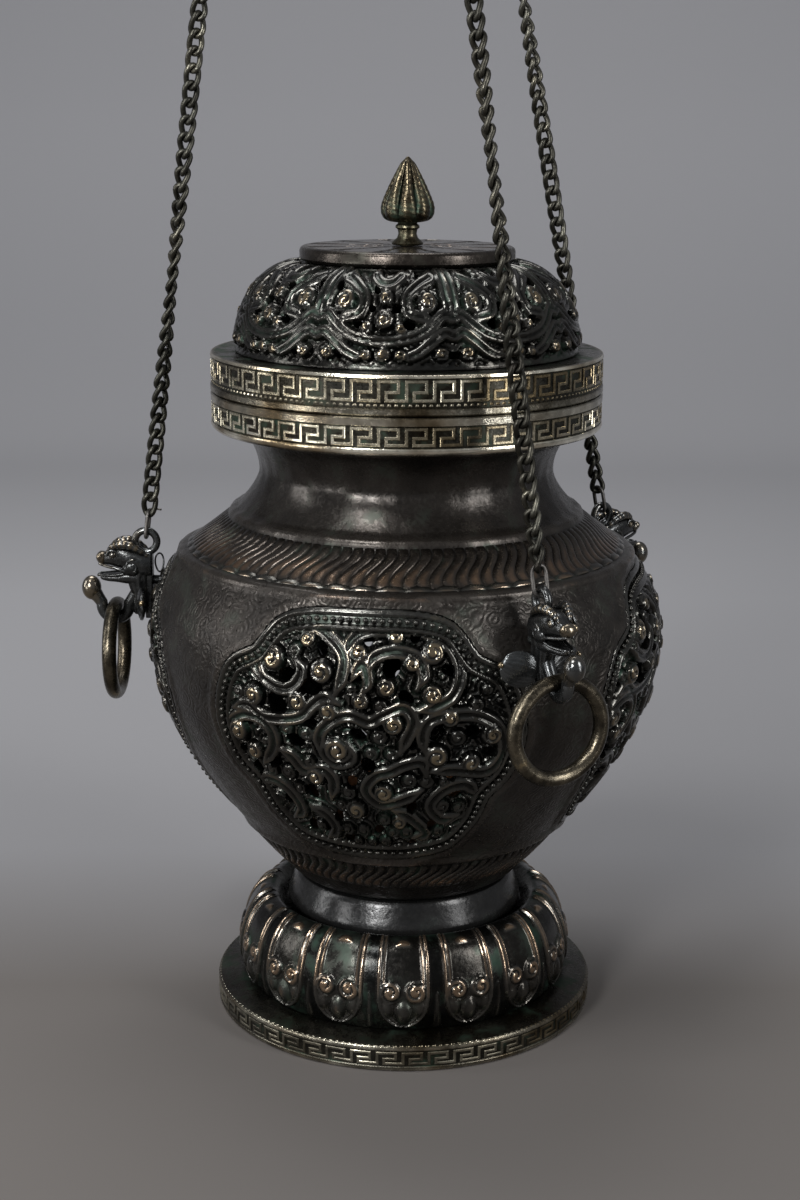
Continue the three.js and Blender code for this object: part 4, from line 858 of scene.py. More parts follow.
def bump_ring(name, copies, centre, size, sway, finish, body, slot, rows=6):
    """A ring of rounded bumps: centre is (radius, height), size (half turn, half rise, out), sway (lean, curl).

    The radius is a number, or gives the radius of the surface under the bumps at a height.
    """
    surface, level = centre
    half_turn, half_rise, out = size
    columns = 7
    u = np.linspace(-1, 1, columns)[None, :] * np.ones((rows, 1))
    v = np.linspace(-1, 1, rows)[:, None] * np.ones((1, columns))
    dome = np.sqrt(np.clip(1 - u**2, 0, 1)) * np.clip(1 - v**4, 0, 1) ** 0.5
    radius = surface(level + v * half_rise) if callable(surface) else surface
    turn = (u * half_turn * (1 - 0.25 * v) + half_rise * (sway[0] * v + sway[1] * np.sin(math.pi * v))) / radius
    lifted = radius + out * dome - 0.1
    points = np.stack([lifted * np.cos(turn), lifted * np.sin(turn), level + v * half_rise], axis=-1)
    index = np.arange(rows * columns).reshape(rows, columns)
    quads = np.stack([index[:-1, :-1], index[:-1, 1:], index[1:, 1:], index[1:, :-1]], axis=-1).reshape(-1, 4)
    piece = build_mesh(name, points.reshape(-1, 3), quads, tone=0.3 + 0.3 * dome * (1.3 - 0.7 * v), sharp=80)
    grow(piece, ring_tree(), Copies=copies, Material=FINISHES[finish])
    dress(piece, finish, body, slot)
    return piece


# Bowl


def medallion_outline():
    """The lobed outline of a medallion, in its own millimetres from its middle and its base."""
    top = [(0, 1), (0.34, 0.995), (0.56, 0.957), (0.69, 0.856)]
    side = [(0.69, 0.856), (0.89, 0.774), (1, 0.573), (0.957, 0.397), (0.834, 0.296)]
    bottom = [(0.834, 0.296), (0.79, 0.171), (0.63, 0.052), (0.31, 0.008), (0, 0)]
    half = np.vstack([smooth_line(lobe, 8)[:-1] for lobe in (top, side, bottom)] + [[(0, 0)]])
    mirrored = half[-2:0:-1] * (-1, 1)
    whole = np.vstack([half, mirrored])
    width = math.radians(MEDALLION_SPREAD) * BELLY_RADIUS
    return (whole * (width, MEDALLION_HEIGHT))[::-1]


def medallion_turn(azimuth):
    """Millimetres along the belly from the nearest medallion's middle."""
    away = (np.asarray(azimuth) - MEDALLION_AZIMUTHS[0] + 45) % 90 - 45
    return np.radians(away) * BELLY_RADIUS


class BURNER_OT_bowl(bpy.types.Operator):
    """Makes the bowl's skin with its ridges, flutes and four windows"""

    bl_idname = "burner.bowl"
    bl_label = "Bowl"

    def execute(self, context):
        sizes = context.scene.burner_carving
        columns = 432
        azimuth = np.arange(columns) * 360 / columns
        steps = [(lowest("bowl"), WAIST, 5), (WAIST, 64, 20), (64, 142, 64), (142, 158, 26), (158, LIP - 2, 20)]
        level = np.concatenate([np.linspace(low, high, count, endpoint=False) for low, high, count in steps])
        level = np.concatenate([level, np.linspace(LIP - 2, LIP, 5)])
        grid_azimuth, grid_level = np.meshgrid(azimuth, level)
        height = np.zeros_like(grid_level)
        tone = np.full_like(grid_level, 0.44)
        for middle, width, rise in ((62, 1.2, 0.7), (145.4, 1.2, 0.9), (157.6, 1.1, 0.8), (LIP - 1, 1.2, 0.5)):
            line = ridge(np.abs(grid_level - middle), width)
            height += rise * line
            tone += 0.16 * line
        for low, high in ((146.6, 156.6), (49.5, 61)):
            trough = smooth_step(grid_level, low, low + 0.8) * (1 - smooth_step(grid_level, high - 0.8, high))
            height -= 0.35 * trough
            tone -= 0.2 * trough
        height += 0.06 * np.sin(grid_azimuth * 0.7) * np.sin(grid_level * 0.21)
        outline = medallion_outline()
        turn = medallion_turn(grid_azimuth)
        depth = loop_depth(turn, grid_level - MEDALLION_BASE, outline)
        lip = ridge(np.abs(depth + 1.4), 1.3)
        height += 0.55 * lip
        tone += 0.12 * lip
        degree = math.radians(1) * BELLY_RADIUS

        def place(x, y, out):
            """Points on the bowl, from degrees round and heights in the same unit."""
            return bowl_place(x, y * degree, out)

        skin = pierced_sheet(
            "bowl_skin", azimuth, level / degree, place, height, BOWL_WALL, -depth / degree, True, tone)
        base = lowest("bowl")
        floor = turned("bowl_floor", [(3.5, base), (30.5, base), (35, base + 2), (35, base + 3), (3.5, base + 3)], 96)
        bowl = joined("bowl_shell", skin, floor)
        dress(bowl, "bronze", "burner", "dark_bronze", "bowl")
        bump_ring("shoulder_flutes", sizes.shoulder_flutes, (bowl_radius, 152), (1.75, 4.5, 0.75), (0.5, 0.28),
                  "flutes", "burner", "dark_bronze", 14)
        bump_ring("shoulder_scallops", sizes.shoulder_flutes // 2, (bowl_radius, 147.7), (3.6, 0.8, 0.7), (0, 0),
                  "petals", "burner", "dark_bronze", 6)
        bump_ring("lower_flutes", sizes.foot_flutes, (bowl_radius, 55.2), (1.3, 5.2, 0.7), (0.5, 0.2), "bronze",
                  "burner", "dark_bronze", 12)
        return {"FINISHED"}


BOSSES = (
    (-26, 65, 3.8, 1.6), (-11, 63, 3.4, -1.6), (-32, 54, 3.4, -1.6), (-18, 54, 3, 1.6), (-9, 52, 2.8, -1.5),
    (0, 55.5, 2.6, 1.4), (-39, 42, 3.4, 1.6), (7, 59.5, 2.8, 1.5), (20, 69, 3.4, -1.6), (9.5, 73, 2.6, 1.4),
    (19.6, 57.5, 3, 1.5), (-7, 40.5, 4.4, 2.1), (9, 49, 3, -1.5), (21.3, 39.2, 3.6, 1.7), (37, 45.2, 3.2, -1.6),
    (31.4, 36.8, 3, 1.5), (-3.7, 20.5, 3.4, -1.6), (5.7, 27, 3, 1.5), (10.5, 16.2, 2.6, 1.4), (-16, 71, 2.4, 1.3),
    (-0.7, 68.5, 2.4, -1.3), (-34.4, 36.5, 2.8, 1.4), (24.7, 50.8, 2.6, -1.4), (-15, 31, 3, 1.5), (14, 66, 2.4, 1.3),
)
OPENINGS = (
    (1.7, 72, 1.6), (-11.5, 69, 1.7), (-21.6, 61, 2), (-14.2, 58.5, 2.5), (-24.7, 52, 2.8), (8.4, 65, 2.6),
    (15.2, 73, 1.6), (24.5, 64, 1.9), (12.5, 56.5, 1.9), (-34.5, 46.5, 1.9), (21.3, 46, 2.1), (31.5, 46, 2),
    (-36, 30, 2), (28.4, 26.5, 1.9), (-22.3, 12, 1.9), (2.4, 5.2, 0), (15.5, 7.5, 1.5), (-9, 8.5, 1.6),
    (37, 39.5, 1.7), (26, 33, 1.7), (-20, 42, 2.2), (1.5, 36, 2.2), (-28, 34, 1.8), (-1, 45.5, 1.9), (14, 43.5, 1.9),
    (-18, 25, 1.9), (10.5, 31, 0), (14.5, 21.5, 1.7), (-1.5, 62, 1.7), (-4, 30, 1.7), (-10.5, 17, 1.5), (3, 12.5, 1.6),
    (22, 15, 1.7), (-28, 21, 1.7), (-29, 68.5, 1.3), (28, 58, 1.3), (38, 32, 1.2), (-40, 36, 1.2), (-14.5, 48, 1.4),
)
CLOUDS = (
    [(-28.7, 58), (-31.4, 63.8), (-28.7, 70.8), (-22.3, 74), (-14.5, 74.5), (-7.8, 71), (-4.7, 67), (-5, 62), (-7, 57)],
    [(-29.7, 63), (-28, 59), (-22.3, 57), (-18.2, 59.2), (-17, 63), (-19.3, 66)],
    [(-4.7, 66.5), (-2.7, 71.8), (2.7, 74.2), (11.8, 75), (20.3, 73.2), (25.7, 69.2), (27.4, 63.2), (25.3, 57.2),
     (20.6, 54.2), (15.5, 53)],
    [(2, 63.2), (3.7, 67.5), (9.5, 69), (15.5, 67.5), (17.2, 63), (15.5, 59.2)],
    [(-2.7, 60.8), (0.3, 65.5), (1.7, 60.8), (-0.3, 57)],
    [(-40, 48.8), (-34.4, 50.5), (-29.4, 48), (-22.6, 48.2), (-17, 49.8), (-13.5, 53.5), (-10, 55.8), (-5.7, 54.2)],
    [(-43, 36), (-42.6, 42.8), (-36.5, 47.2), (-30.4, 47), (-27, 43.5), (-27.4, 38.5), (-32.4, 32.5)],
    [(-12.2, 38.5), (-11.8, 45), (-7.8, 49.5), (-2.7, 51.2), (2.4, 49.5), (6, 51.5), (11.8, 53.8), (14.5, 49.8),
     (12.5, 44.2), (10.8, 40)],
    [(-4.4, 43.5), (-3.4, 38), (-7.8, 36), (-10.8, 39.5), (-8, 44)],
    [(18.2, 40), (17, 45.8), (19.3, 50.2), (25.3, 51.5), (32.4, 51), (38.5, 47), (41, 39.8), (37, 33.5), (26.7, 34.5),
     (20, 34.2)],
    [(18.6, 32.8), (17.2, 37.2), (12.2, 36.5), (8, 34.2), (3.4, 32.5), (0.3, 27.5), (4.7, 22.8), (12.2, 24.8), (17.6, 28)],
    [(-25.7, 38.8), (-21.6, 36.5), (-18.2, 32.5), (-12.2, 33.5), (-9.5, 29.8), (-11.5, 23.2)],
    [(-38, 26), (-31, 27.5), (-25.5, 24), (-24, 17.5), (-29, 14)],
    [(36, 25), (30.5, 29.5), (24, 27.5), (20.5, 22), (25, 17), (30.5, 18.5)],
    [(-20, 20), (-14.5, 17), (-13, 11.5), (-17.5, 8)],
    [(8, 21), (14, 18), (20, 11.5), (15, 10)],
)


def carve_medallion(sizes, across, up, outline):
    """Heights, tones and openness of a medallion on a grid of its own millimetres."""
    x, y = np.meshgrid(across, up)
    depth = loop_depth(x, y, outline)
    field = smooth_step(depth, 5.4, 6.4)
    rise = sizes.medallion_relief / MM
    gap = np.full(x.shape, 99.0)
    for cloud in CLOUDS:
        line = smooth_line(cloud, 5)
        own = line_distance(across, up, [line], 4)
        for end_x, end_y in (line[0], line[-1]):
            own += 1.5 * np.clip(1 - np.hypot(x - end_x, y - end_y) / 4.5, 0, 1)
        gap = np.minimum(gap, own)
    centres = np.array([(cx, cy, r) for cx, cy, r, _ in BOSSES])
    openings = np.array([hole for hole in OPENINGS if hole[2]])

    def room(px, py):
        """Room left at a point between the clouds, bosses, openings and border."""
        column = int(np.clip(np.searchsorted(across, px), 0, len(across) - 1))
        row = int(np.clip(np.searchsorted(up, py), 0, len(up) - 1))
        from_boss = (np.hypot(centres[:, 0] - px, centres[:, 1] - py) - centres[:, 2]).min()
        from_opening = (np.hypot(openings[:, 0] - px, openings[:, 1] - py) - openings[:, 2]).min()
        return min(gap[row, column] - 1.3, from_boss, from_opening, depth[row, column] - 6.2)

    curls = filler_curls((-46, 46), (3, 79), 5.4, 2.5, room, 7)
    everything = np.vstack([centres, [curl[:3] for curl in curls]])
    around = gap - 2.3
    for centre_x, centre_y, radius in everything:
        around = np.minimum(around, np.hypot(x - centre_x, y - centre_y) - radius)
    strands = 0.5 - 0.5 * np.cos(np.clip(around, 0, 9) * 2 * math.pi / 1.45)
    height = (0.85 * strands - 1.2) * field
    tone = 0.45 + (0.52 * strands - 0.33) * field
    carve_bosses(x, y, height, tone, curls, rise * 0.7, 0.66)
    band = rise * (0.55 * ridge(gap, 2.4) + 0.6 * ridge(np.abs(gap - 1.3), 0.85)) * field - 0.3 * field
    near = (gap < 2.4) & (field > 0.05) & (band > height)
    height = np.where(near, band, height)
    tone = np.where(near, 0.3 + 0.4 * ridge(np.abs(gap - 1.3), 0.8), tone)
    carve_bosses(x, y, height, tone, BOSSES, rise * 1.4, 1.0)
    border = np.maximum(ridge(np.abs(depth - 1), 1.05), ridge(np.abs(depth - 5), 0.75))
    height = np.where(depth < 6, 0.9 * border - 0.35 * (1 - field), height)
    tone = np.where(depth < 6, 0.4 + 0.22 * border, tone)
    keep = depth - 0.3
    for centre_x, centre_y, radius in openings:
        angle = np.arctan2(y - centre_y, x - centre_x)
        hole = np.hypot(x - centre_x, y - centre_y) * (1 + 0.16 * np.sin(2 * angle + centre_x)) - radius * 1.12
        keep = np.minimum(keep, np.maximum(hole, 1.6 - gap))
    keep = np.where((depth > 0.3) & (depth < 6.2), np.minimum(depth - 0.3, 2), keep)
    return height, tone, keep


class BURNER_OT_medallions(bpy.types.Operator):
    """Makes the four pierced medallions with their beaded borders"""

    bl_idname = "burner.medallions"
    bl_label = "Medallions"

    def execute(self, context):
        sizes = context.scene.burner_carving
        outline = medallion_outline()
        cell = 0.39
        across = np.arange(-48.4, 48.4, cell)
        up = np.arange(-0.4, MEDALLION_HEIGHT + 0.4, cell)
        height, tone, keep = carve_medallion(sizes, across, up, outline)
        names = ("front", "right", "back", "left")
        loops = []
        for azimuth, side in zip(MEDALLION_AZIMUTHS, names):

            def place(x, y, out):
                """Points on the bowl from the medallion's own millimetres."""
                return bowl_place(azimuth + np.degrees(x / BELLY_RADIUS), MEDALLION_BASE + y, out)

            panel = pierced_sheet("medallion_" + side + "_openwork", across, up, place, height, 2.2, keep, False, tone)
            dress(panel, "pierced", "burner", "openwork_bronze", "medallion_" + side)
            away = np.roll(outline, -1, axis=0) - np.roll(outline, 1, axis=0)
            away /= np.linalg.norm(away, axis=1, keepdims=True)
            inset = outline + 3.0 * np.stack([-away[:, 1], away[:, 0]], axis=1)
            loops.append(place(inset[:, 0], inset[:, 1], np.full(len(inset), 0.25)))
        count = len(outline)
        path = bpy.data.meshes.new("medallion_beads")
        edges = [(loop * count + i, loop * count + (i + 1) % count) for loop in range(4) for i in range(count)]
        path.from_pydata([Vector(point) * MM for point in np.vstack(loops)], edges, [])
        beads = bpy.data.objects.new("medallion_beads", path)
        context.scene.collection.objects.link(beads)
        grow(beads, bead_tree(), Pitch=sizes.bead_pitch, Radius=0.8 * MM, Material=FINISHES["bead"])
        dress(beads, "bead", "burner", "openwork_bronze")
        return {"FINISHED"}


# Foot


class BURNER_OT_foot(bpy.types.Operator):
    """Makes the plinth with its fret, the lotus ring and the collar"""

    bl_idname = "burner.foot"
    bl_label = "Foot"

    def execute(self, context):
        sizes = context.scene.burner_carving
        radius = widest("plinth")
        top = highest("plinth")
        rim = top - 1.1
        profile = [(44, 0), (radius - 1.2, 0), (radius - 0.5, 0.25), (radius - 0.1, 0.8), (radius - 0.1, 1.5),
                   (radius - 0.35, 1.8), (radius - 0.35, rim - 1.6), (radius - 0.05, rim - 1.3),
                   (radius, rim - 0.7), (radius - 0.3, rim - 0.15), (radius - 1, rim), (radius - 3.6, rim + 0.25),
                   (radius - 5.6, rim + 0.7), (FOOT_RADIUS, top), (44, top)]
        worn = rows_of(0.2, 0.6, 0.75, 0.75, 0.6, 0.22, 0.22, 0.7, 0.72, 0.5, 0.3, 0.22, 0.25, 0.2, 0.2)
        plinth = turned("plinth_moulding", profile, 256, tone=worn)
        dress(plinth, "band", "burner", "worn_brass", "plinth")
        fret("plinth_fret", radius - 0.45, 2.6, rim - 2.3, sizes.fret_keys, "dull_line", "burner", "worn_brass")
        bump_ring("plinth_rope_high", 190, (radius - 0.55, rim - 0.75), (0.8, 0.75, 0.5), (0.6, 0), "line",
                  "burner", "worn_brass")
        bump_ring("plinth_rope_low", 190, (radius - 0.5, 1.1), (0.8, 0.7, 0.45), (0.6, 0), "line",
                  "burner", "worn_brass")
        self.lotus(sizes)
        base, crown = lowest("bowl_collar"), highest("bowl_collar")
        collar = turned("collar_band", [
            (30.4, base), (34.6, base), (35.9, base + 0.7), (36.7, base + 2.2), (36.6, base + 3.4), (35.9, base + 5),
            (35.1, base + 7.4), (34.3, crown - 1.6), (33.9, crown - 0.5), (33.4, crown), (30.4, crown)], 192)
        dress(collar, "glossy", "burner", "dark_bronze", "bowl_collar")
        return {"FINISHED"}

    def lotus(self, sizes):
        """The lotus ring, one grid round it with its petals carved in."""
        base = lowest("lotus_ring")
        middle = base + 7.6
        crest = highest("lotus_ring")
        trough = lowest("bowl_collar") - 0.3
        below = [(FOOT_RADIUS - 1.6 * (1 - s) ** 2, base + 7.6 * s) for s in np.linspace(0, 1, 30, endpoint=False)]
        sweep = np.radians(np.linspace(0, 90, 62))
        above = np.stack([CREST_RADIUS + (FOOT_RADIUS - CREST_RADIUS) * np.cos(sweep),
                          middle + (crest - middle) * np.sin(sweep)], axis=1)
        front = np.vstack([below, above])
        back = [(40.6, crest - 0.3), (39.2, crest - 1.6), (37.6, trough + 0.4), (37.0, trough), (3.6, trough),
                (3.6, trough - 2.2), (41, trough - 2.4), (47, middle + 8), (47.9, base)]
        around = sizes.petals * 52
        length = np.concatenate([[0], np.cumsum(np.linalg.norm(np.diff(front, axis=0), axis=1))])
        share = (length / length[-1])[:, None]
        x = np.abs(((np.arange(around) / 52 + 0.5) % 1) * 2 - 1)[None, :]
        signed = (((np.arange(around) / 52 + 0.5) % 1) * 2 - 1)[None, :]
        width = 20.2
        t = share * length[-1]
        a = signed * width / 2
        petal = np.abs(a)
        leaf_top = 12.2
        below_top = np.clip((leaf_top - t) / 11, 0, 1)
        edge = 8.1 * np.sqrt(1 - below_top**2.4) - petal
        inside = smooth_step(edge, -0.6, 0.4)
        height = -1.1 + 1.1 * inside
        tone = 0.12 + 0.3 * inside
        for middle_line, line_width, rise in ((0.7, 0.85, 0.75), (2.2, 0.55, 0.45)):
            line = ridge(np.abs(edge - middle_line), line_width)
            height = height + rise * line
            tone = tone + (0.2 + 0.24 * smooth_step(t, 8, 17)) * line
        field = smooth_step(edge, 2.4, 3.4) * smooth_step(t, 13.4, 14.6)
        height = height - 0.7 * field
        crescent = ridge(np.hypot(a * 0.75, (t - 27.2 + 0.10 * a**2) * 1.6), 2.9)
        height = height + 1.1 * crescent
        tone = np.maximum(tone - 0.08 * field, crescent)
        flat_a = np.broadcast_to(a, height.shape)
        flat_t = np.broadcast_to(t, height.shape)
        height = np.array(height)
        tone = np.array(np.broadcast_to(tone, height.shape))
        carve_bosses(flat_a, flat_t, height, tone, [(-3.8, 12.4, 3.5, 1.7), (3.8, 12.4, 3.5, -1.7)], 1.05, 1.0)
        drop = np.hypot(flat_a * 1.25, (flat_t - 5.6) * 0.8)
        leaf = ridge(drop, 3.2) * smooth_step(edge, 0.5, 1.8)
        height = np.maximum(height, 1.1 * leaf)
        tone = np.maximum(tone, 0.66 * leaf)
        side_leaf = ridge(np.hypot((np.abs(flat_a) - 4.8) * 1.1, (flat_t - 7.2) * 0.7), 2.2)
        height = np.maximum(height, 0.8 * side_leaf)
        tone = np.maximum(tone, 0.62 * side_leaf)
        spike = ridge(np.abs(np.abs(flat_a) - width / 2) / (0.25 + 0.9 * np.clip(1 - flat_t / 13, 0, 1)), 1.4)
        spike = spike * (1 - smooth_step(flat_t, 11.5, 13.5))
        height = np.maximum(height, 0.7 * spike - 0.3)
        tone = np.maximum(tone, 0.5 * spike)
        fade = smooth_step(flat_t, 0.0, 1.2) * (1 - smooth_step(flat_t, 29.5, 31.5))
        lotus = turned("lotus_petals", np.vstack([front, back]), around, height * fade, tone * fade + 0.1 * (1 - fade))
        dress(lotus, "petals", "burner", "dark_bronze", "lotus_ring")


# Bands, lid and finial


class BURNER_OT_bands(bpy.types.Operator):
    """Makes the mouth band and the lid's band with their frets and beads"""

    bl_idname = "burner.bands"
    bl_label = "Bands"

    def execute(self, context):
        sizes = context.scene.burner_carving
        radius = widest("mouth_band")
        low, high = lowest("mouth_band"), highest("mouth_band")
        bore = radius - 5.5
        worn = rows_of(0.3, 0.4, 0.7, 0.9, 0.95, 0.88, 0.2, 0.2, 0.8, 0.8, 0.6, 0.3, 0.2, 0.2)
        mouth = turned("mouth_band_rim", [
            (46.9, low), (radius - 2.2, low), (radius - 1, low + 0.25), (radius - 0.25, low + 0.9),
            (radius, low + 1.6), (radius - 0.15, low + 2.3), (radius - 0.55, low + 2.6), (radius - 0.55, high - 2.6),
            (radius - 0.1, high - 2.3), (radius, high - 0.5), (radius - 0.5, high), (bore, high), (bore, low + 2.4),
            (46.9, low + 2.4)], 256, tone=worn)
        dress(mouth, "band", "burner", "worn_brass", "mouth_band")
        fret("mouth_band_fret", radius - 0.6, low + 3.3, high - 3.2, sizes.fret_keys, "line", "burner",
             "worn_brass")
        low, high = lowest("lid_dome") - 0.3 - 11.4, highest("lid_band")
        spigot = bore - 0.3
        worn = rows_of(0.2, 0.2, 0.3, 0.5, 0.72, 0.7, 0.26, 0.22, 0.85, 0.9, 0.55, 0.2, 0.16, 0.2, 0.2)
        lid = turned("lid_band_rim", [
            (spigot - 2.2, low - 5), (spigot, low - 5), (spigot, low), (radius - 0.5, low), (radius, low + 0.5),
            (radius, low + 1.9), (radius - 0.5, low + 2.3), (radius - 0.5, high - 1.3), (radius, high - 0.9),
            (radius - 0.2, high - 0.2), (radius - 0.6, high), (radius - 1.7, high - 0.05), (46.6, high),
            (46.6, high - 2.2), (spigot - 2.2, high - 5.2)], 256, tone=worn)
        dress(lid, "band", "lid", "worn_brass", "lid_band")
        fret("lid_band_fret", radius - 0.55, low + 4.3, high - 1.9, sizes.fret_keys, "line", "lid", "worn_brass")
        bump_ring("lid_band_beads", 190, (radius - 0.55, low + 3.0), (0.62, 0.45, 0.45), (0, 0), "dull_line", "lid",
                  "worn_brass")
        return {"FINISHED"}


LAPPET_LINES = (
    [(-18, 219.5), (-15.6, 220.3), (-12.5, 217.6), (-8, 214.6), (0, 213.2), (8, 214.6), (12.5, 217.6), (15.6, 220.3),
     (18, 219.5)],
    [(-18, 214.6), (-15.6, 215.6), (-12.4, 213.2), (-9.4, 210.6), (-6.8, 209.2)],
    [(18, 214.6), (15.6, 215.6), (12.4, 213.2), (9.4, 210.6), (6.8, 209.2)],
    [(-16.7, 231), (-16.9, 226), (-17.2, 221)],
    [(16.7, 231), (16.9, 226), (17.2, 221)],
    [(-13.4, 229.5), (-9.5, 227.8), (-6, 224.8), (-6.6, 220.8), (-10.4, 219.6)],
    [(13.4, 229.5), (9.5, 227.8), (6, 224.8), (6.6, 220.8), (10.4, 219.6)],
    [(-4.2, 229.8), (-1.6, 228), (1.6, 228), (4.2, 229.8)],
)
LAPPET_BOSSES = (
    (-11.6, 223.6, 3, 1.6), (11.6, 223.6, 3, -1.6), (0, 219, 2.8, 1.5), (-4.4, 216.9, 1.9, -1.3),
    (4.4, 216.9, 1.9, 1.3), (0, 224.6, 2.2, 1.3), (-4.3, 209.6, 1.8, 1.3), (0, 209.8, 2.1, -1.4),
    (4.3, 209.6, 1.8, -1.3), (-14.6, 210, 2.1, 1.3), (14.6, 210, 2.1, -1.3),
)
LAPPET_OPENINGS = (
    (6.6, 217.9, 1.9), (-6.9, 218.1, 1.5), (3.2, 222.2, 1.5), (-2.7, 226.9, 1.2), (-3.4, 222, 1.1), (17.2, 209.6, 1.3),
    (9.4, 230, 1), (-14.6, 227.4, 1.2), (-11.4, 209.2, 1),
)


class BURNER_OT_lid(bpy.types.Operator):
    """Makes the pierced dome with its cloud lappets, the cap and the finial"""

    bl_idname = "burner.lid"
    bl_label = "Lid"

    def execute(self, context):
        sizes = context.scene.burner_carving
        self.dome(sizes)
        base, top = lowest("lid_cap"), highest("lid_cap")
        reach = np.linspace(CAP_RADIUS - 2.4, 8, 40)
        flat = np.stack([reach, np.full(40, top - 0.3)], axis=1)
        profile = np.vstack([flat, [
            (7, top), (2.4, top), (2.4, base), (CAP_RADIUS - 1.6, base), (CAP_RADIUS - 0.7, base + 0.3),
            (CAP_RADIUS, base + 1.1), (CAP_RADIUS, top - 1.3), (CAP_RADIUS - 0.3, top - 0.5),
            (CAP_RADIUS - 1, top - 0.05), (CAP_RADIUS - 2, top)]])
        around = 288
        turn = np.arange(around) * 2 * math.pi / around
        share = ((reach - 8) / (CAP_RADIUS - 10.4))[:, None]
        leaf = np.abs(np.cos(6 * turn))[None, :] - 0.25 - 0.7 * np.abs(share - 0.45) ** 1.5
        raised = smooth_step(leaf, -0.12, 0.12) + 0.5 * ridge(np.abs(leaf), 0.1)
        cap = turned("cap_disc", profile, around, 0.3 * raised, 0.4 + 0.26 * raised)
        dress(cap, "flutes", "lid", "dark_bronze", "lid_cap")
        self.finial()
        return {"FINISHED"}

    def dome(self, sizes):
        """The dome as one pierced sheet, with one lappet's carving repeated round it."""
        base = lowest("lid_dome")
        sweep = np.linspace(0, math.pi / 2, 200)
        curve = np.stack([CAP_RADIUS + 19.2 * np.cos(sweep), base + 0.8 + 24.8 * np.sin(sweep)], axis=1)
        curve = np.vstack([[(51, base)], curve, [(CAP_RADIUS - 2.2, base + 25.6)]])
        length = np.concatenate([[0], np.cumsum(np.linalg.norm(np.diff(curve, axis=0), axis=1))])
        per_lappet = 75
        columns = per_lappet * sizes.lappets
        cell = 36 / per_lappet
        rows = int(length[-1] / cell) + 1
        up = np.linspace(0, length[-1], rows)
        level = np.interp(up, length, curve[:, 1])
        radius = np.interp(up, length, curve[:, 0])
        along_r = np.gradient(radius, up)
        along_z = np.gradient(level, up)
        local = (np.arange(per_lappet) + 0.5) * cell - 18
        x, y = np.meshgrid(local, level)
        y = np.where(y > base + 25.5, base + 25.5 + (up[:, None] - up[np.argmax(level > base + 25.5)]), y)
        lines = [smooth_line(line, 5) for line in LAPPET_LINES]
        gap = np.full(x.shape, 99.0)
        for line in lines:
            for start, end in zip(line[:-1], line[1:]):
                step = end - start
                share = ((x - start[0]) * step[0] + (y - start[1]) * step[1]) / (step.dot(step) + 1e-9)
                share = np.clip(share, 0, 1)
                gap = np.minimum(gap, np.hypot(x - start[0] - share * step[0], y - start[1] - share * step[1]))
        openings = np.array(LAPPET_OPENINGS)
        centres = np.array(LAPPET_BOSSES)

        def room(px, py):
            """Room left at a point of the lappet."""
            column = int(np.clip((px + 18) / cell, 0, per_lappet - 1))
            row = int(np.clip(np.searchsorted(level, py), 0, rows - 1))
            from_boss = (np.hypot(centres[:, 0] - px, centres[:, 1] - py) - centres[:, 2]).min()
            from_opening = (np.hypot(openings[:, 0] - px, openings[:, 1] - py) - openings[:, 2]).min()
            return min(gap[row, column] - 1.1, from_boss, from_opening, 17 - abs(px), py - 207.4)

        curls = filler_curls((-16.4, 16.4), (208, 231), 5.2, 2.3, room, 11)
        around = gap - 1.7
        for centre_x, centre_y, size in [boss[:3] for boss in (*LAPPET_BOSSES, *curls)]:
            around = np.minimum(around, np.hypot(x - centre_x, y - centre_y) - size)
        strands = 0.5 - 0.5 * np.cos(np.clip(around, 0, 9) * 2 * math.pi / 1.75)
        height = 0.5 * strands - 0.85
        tone = 0.22 + 0.3 * strands
        carve_bosses(x, y, height, tone, curls, 0.7, 0.66)
        band = 0.5 * ridge(gap, 1.9) + 0.5 * ridge(np.abs(gap - 1.0), 0.75) - 0.15
        near = (gap < 1.9) & (band > height)
        height = np.where(near, band, height)
        tone = np.where(near, 0.26 + 0.36 * ridge(np.abs(gap - 1.0), 0.75), tone)
        carve_bosses(x, y, height, tone, LAPPET_BOSSES, 1.2, 0.95)
        foot = 1 - smooth_step(y, base + 0.6, base + 1.6)
        height = height * (1 - foot)
        tone = tone * (1 - foot) + 0.45 * foot
        keep = np.full(x.shape, 3.0)
        for centre_x, centre_y, size in openings:
            keep = np.minimum(keep, np.maximum(np.hypot(x - centre_x, y - centre_y) - size * 0.9, 1.3 - gap))
        height, tone, keep = (
            np.hstack([part if k % 2 == 0 else part[:, ::-1] for k in range(sizes.lappets)])
            for part in (height, tone, keep))
        across = (np.arange(columns) + 0.5) * cell

        def place(px, py, out):
            """Points on the dome from millimetres round and millimetres up its curve."""
            turn = np.radians(px / (columns * cell) * 360 - 120)
            out_r = np.interp(py, up, along_z)
            out_z = -np.interp(py, up, along_r)
            reach = np.interp(py, up, radius) + out * out_r
            return np.stack([reach * np.cos(turn), reach * np.sin(turn), np.interp(py, up, level) + out * out_z], axis=-1)

        shell = pierced_sheet("dome_openwork", across, up, place, height, 2.0, keep, True, tone)
        top = highest("lid_dome")
        roof = turned("dome_roof", [(2.4, top - 2.2), (30.5, top - 2.2), (30.5, top), (2.4, top)], 96)
        dome = joined("dome_openwork", shell, roof)
        dress(dome, "pierced", "lid", "openwork_bronze", "lid_dome")

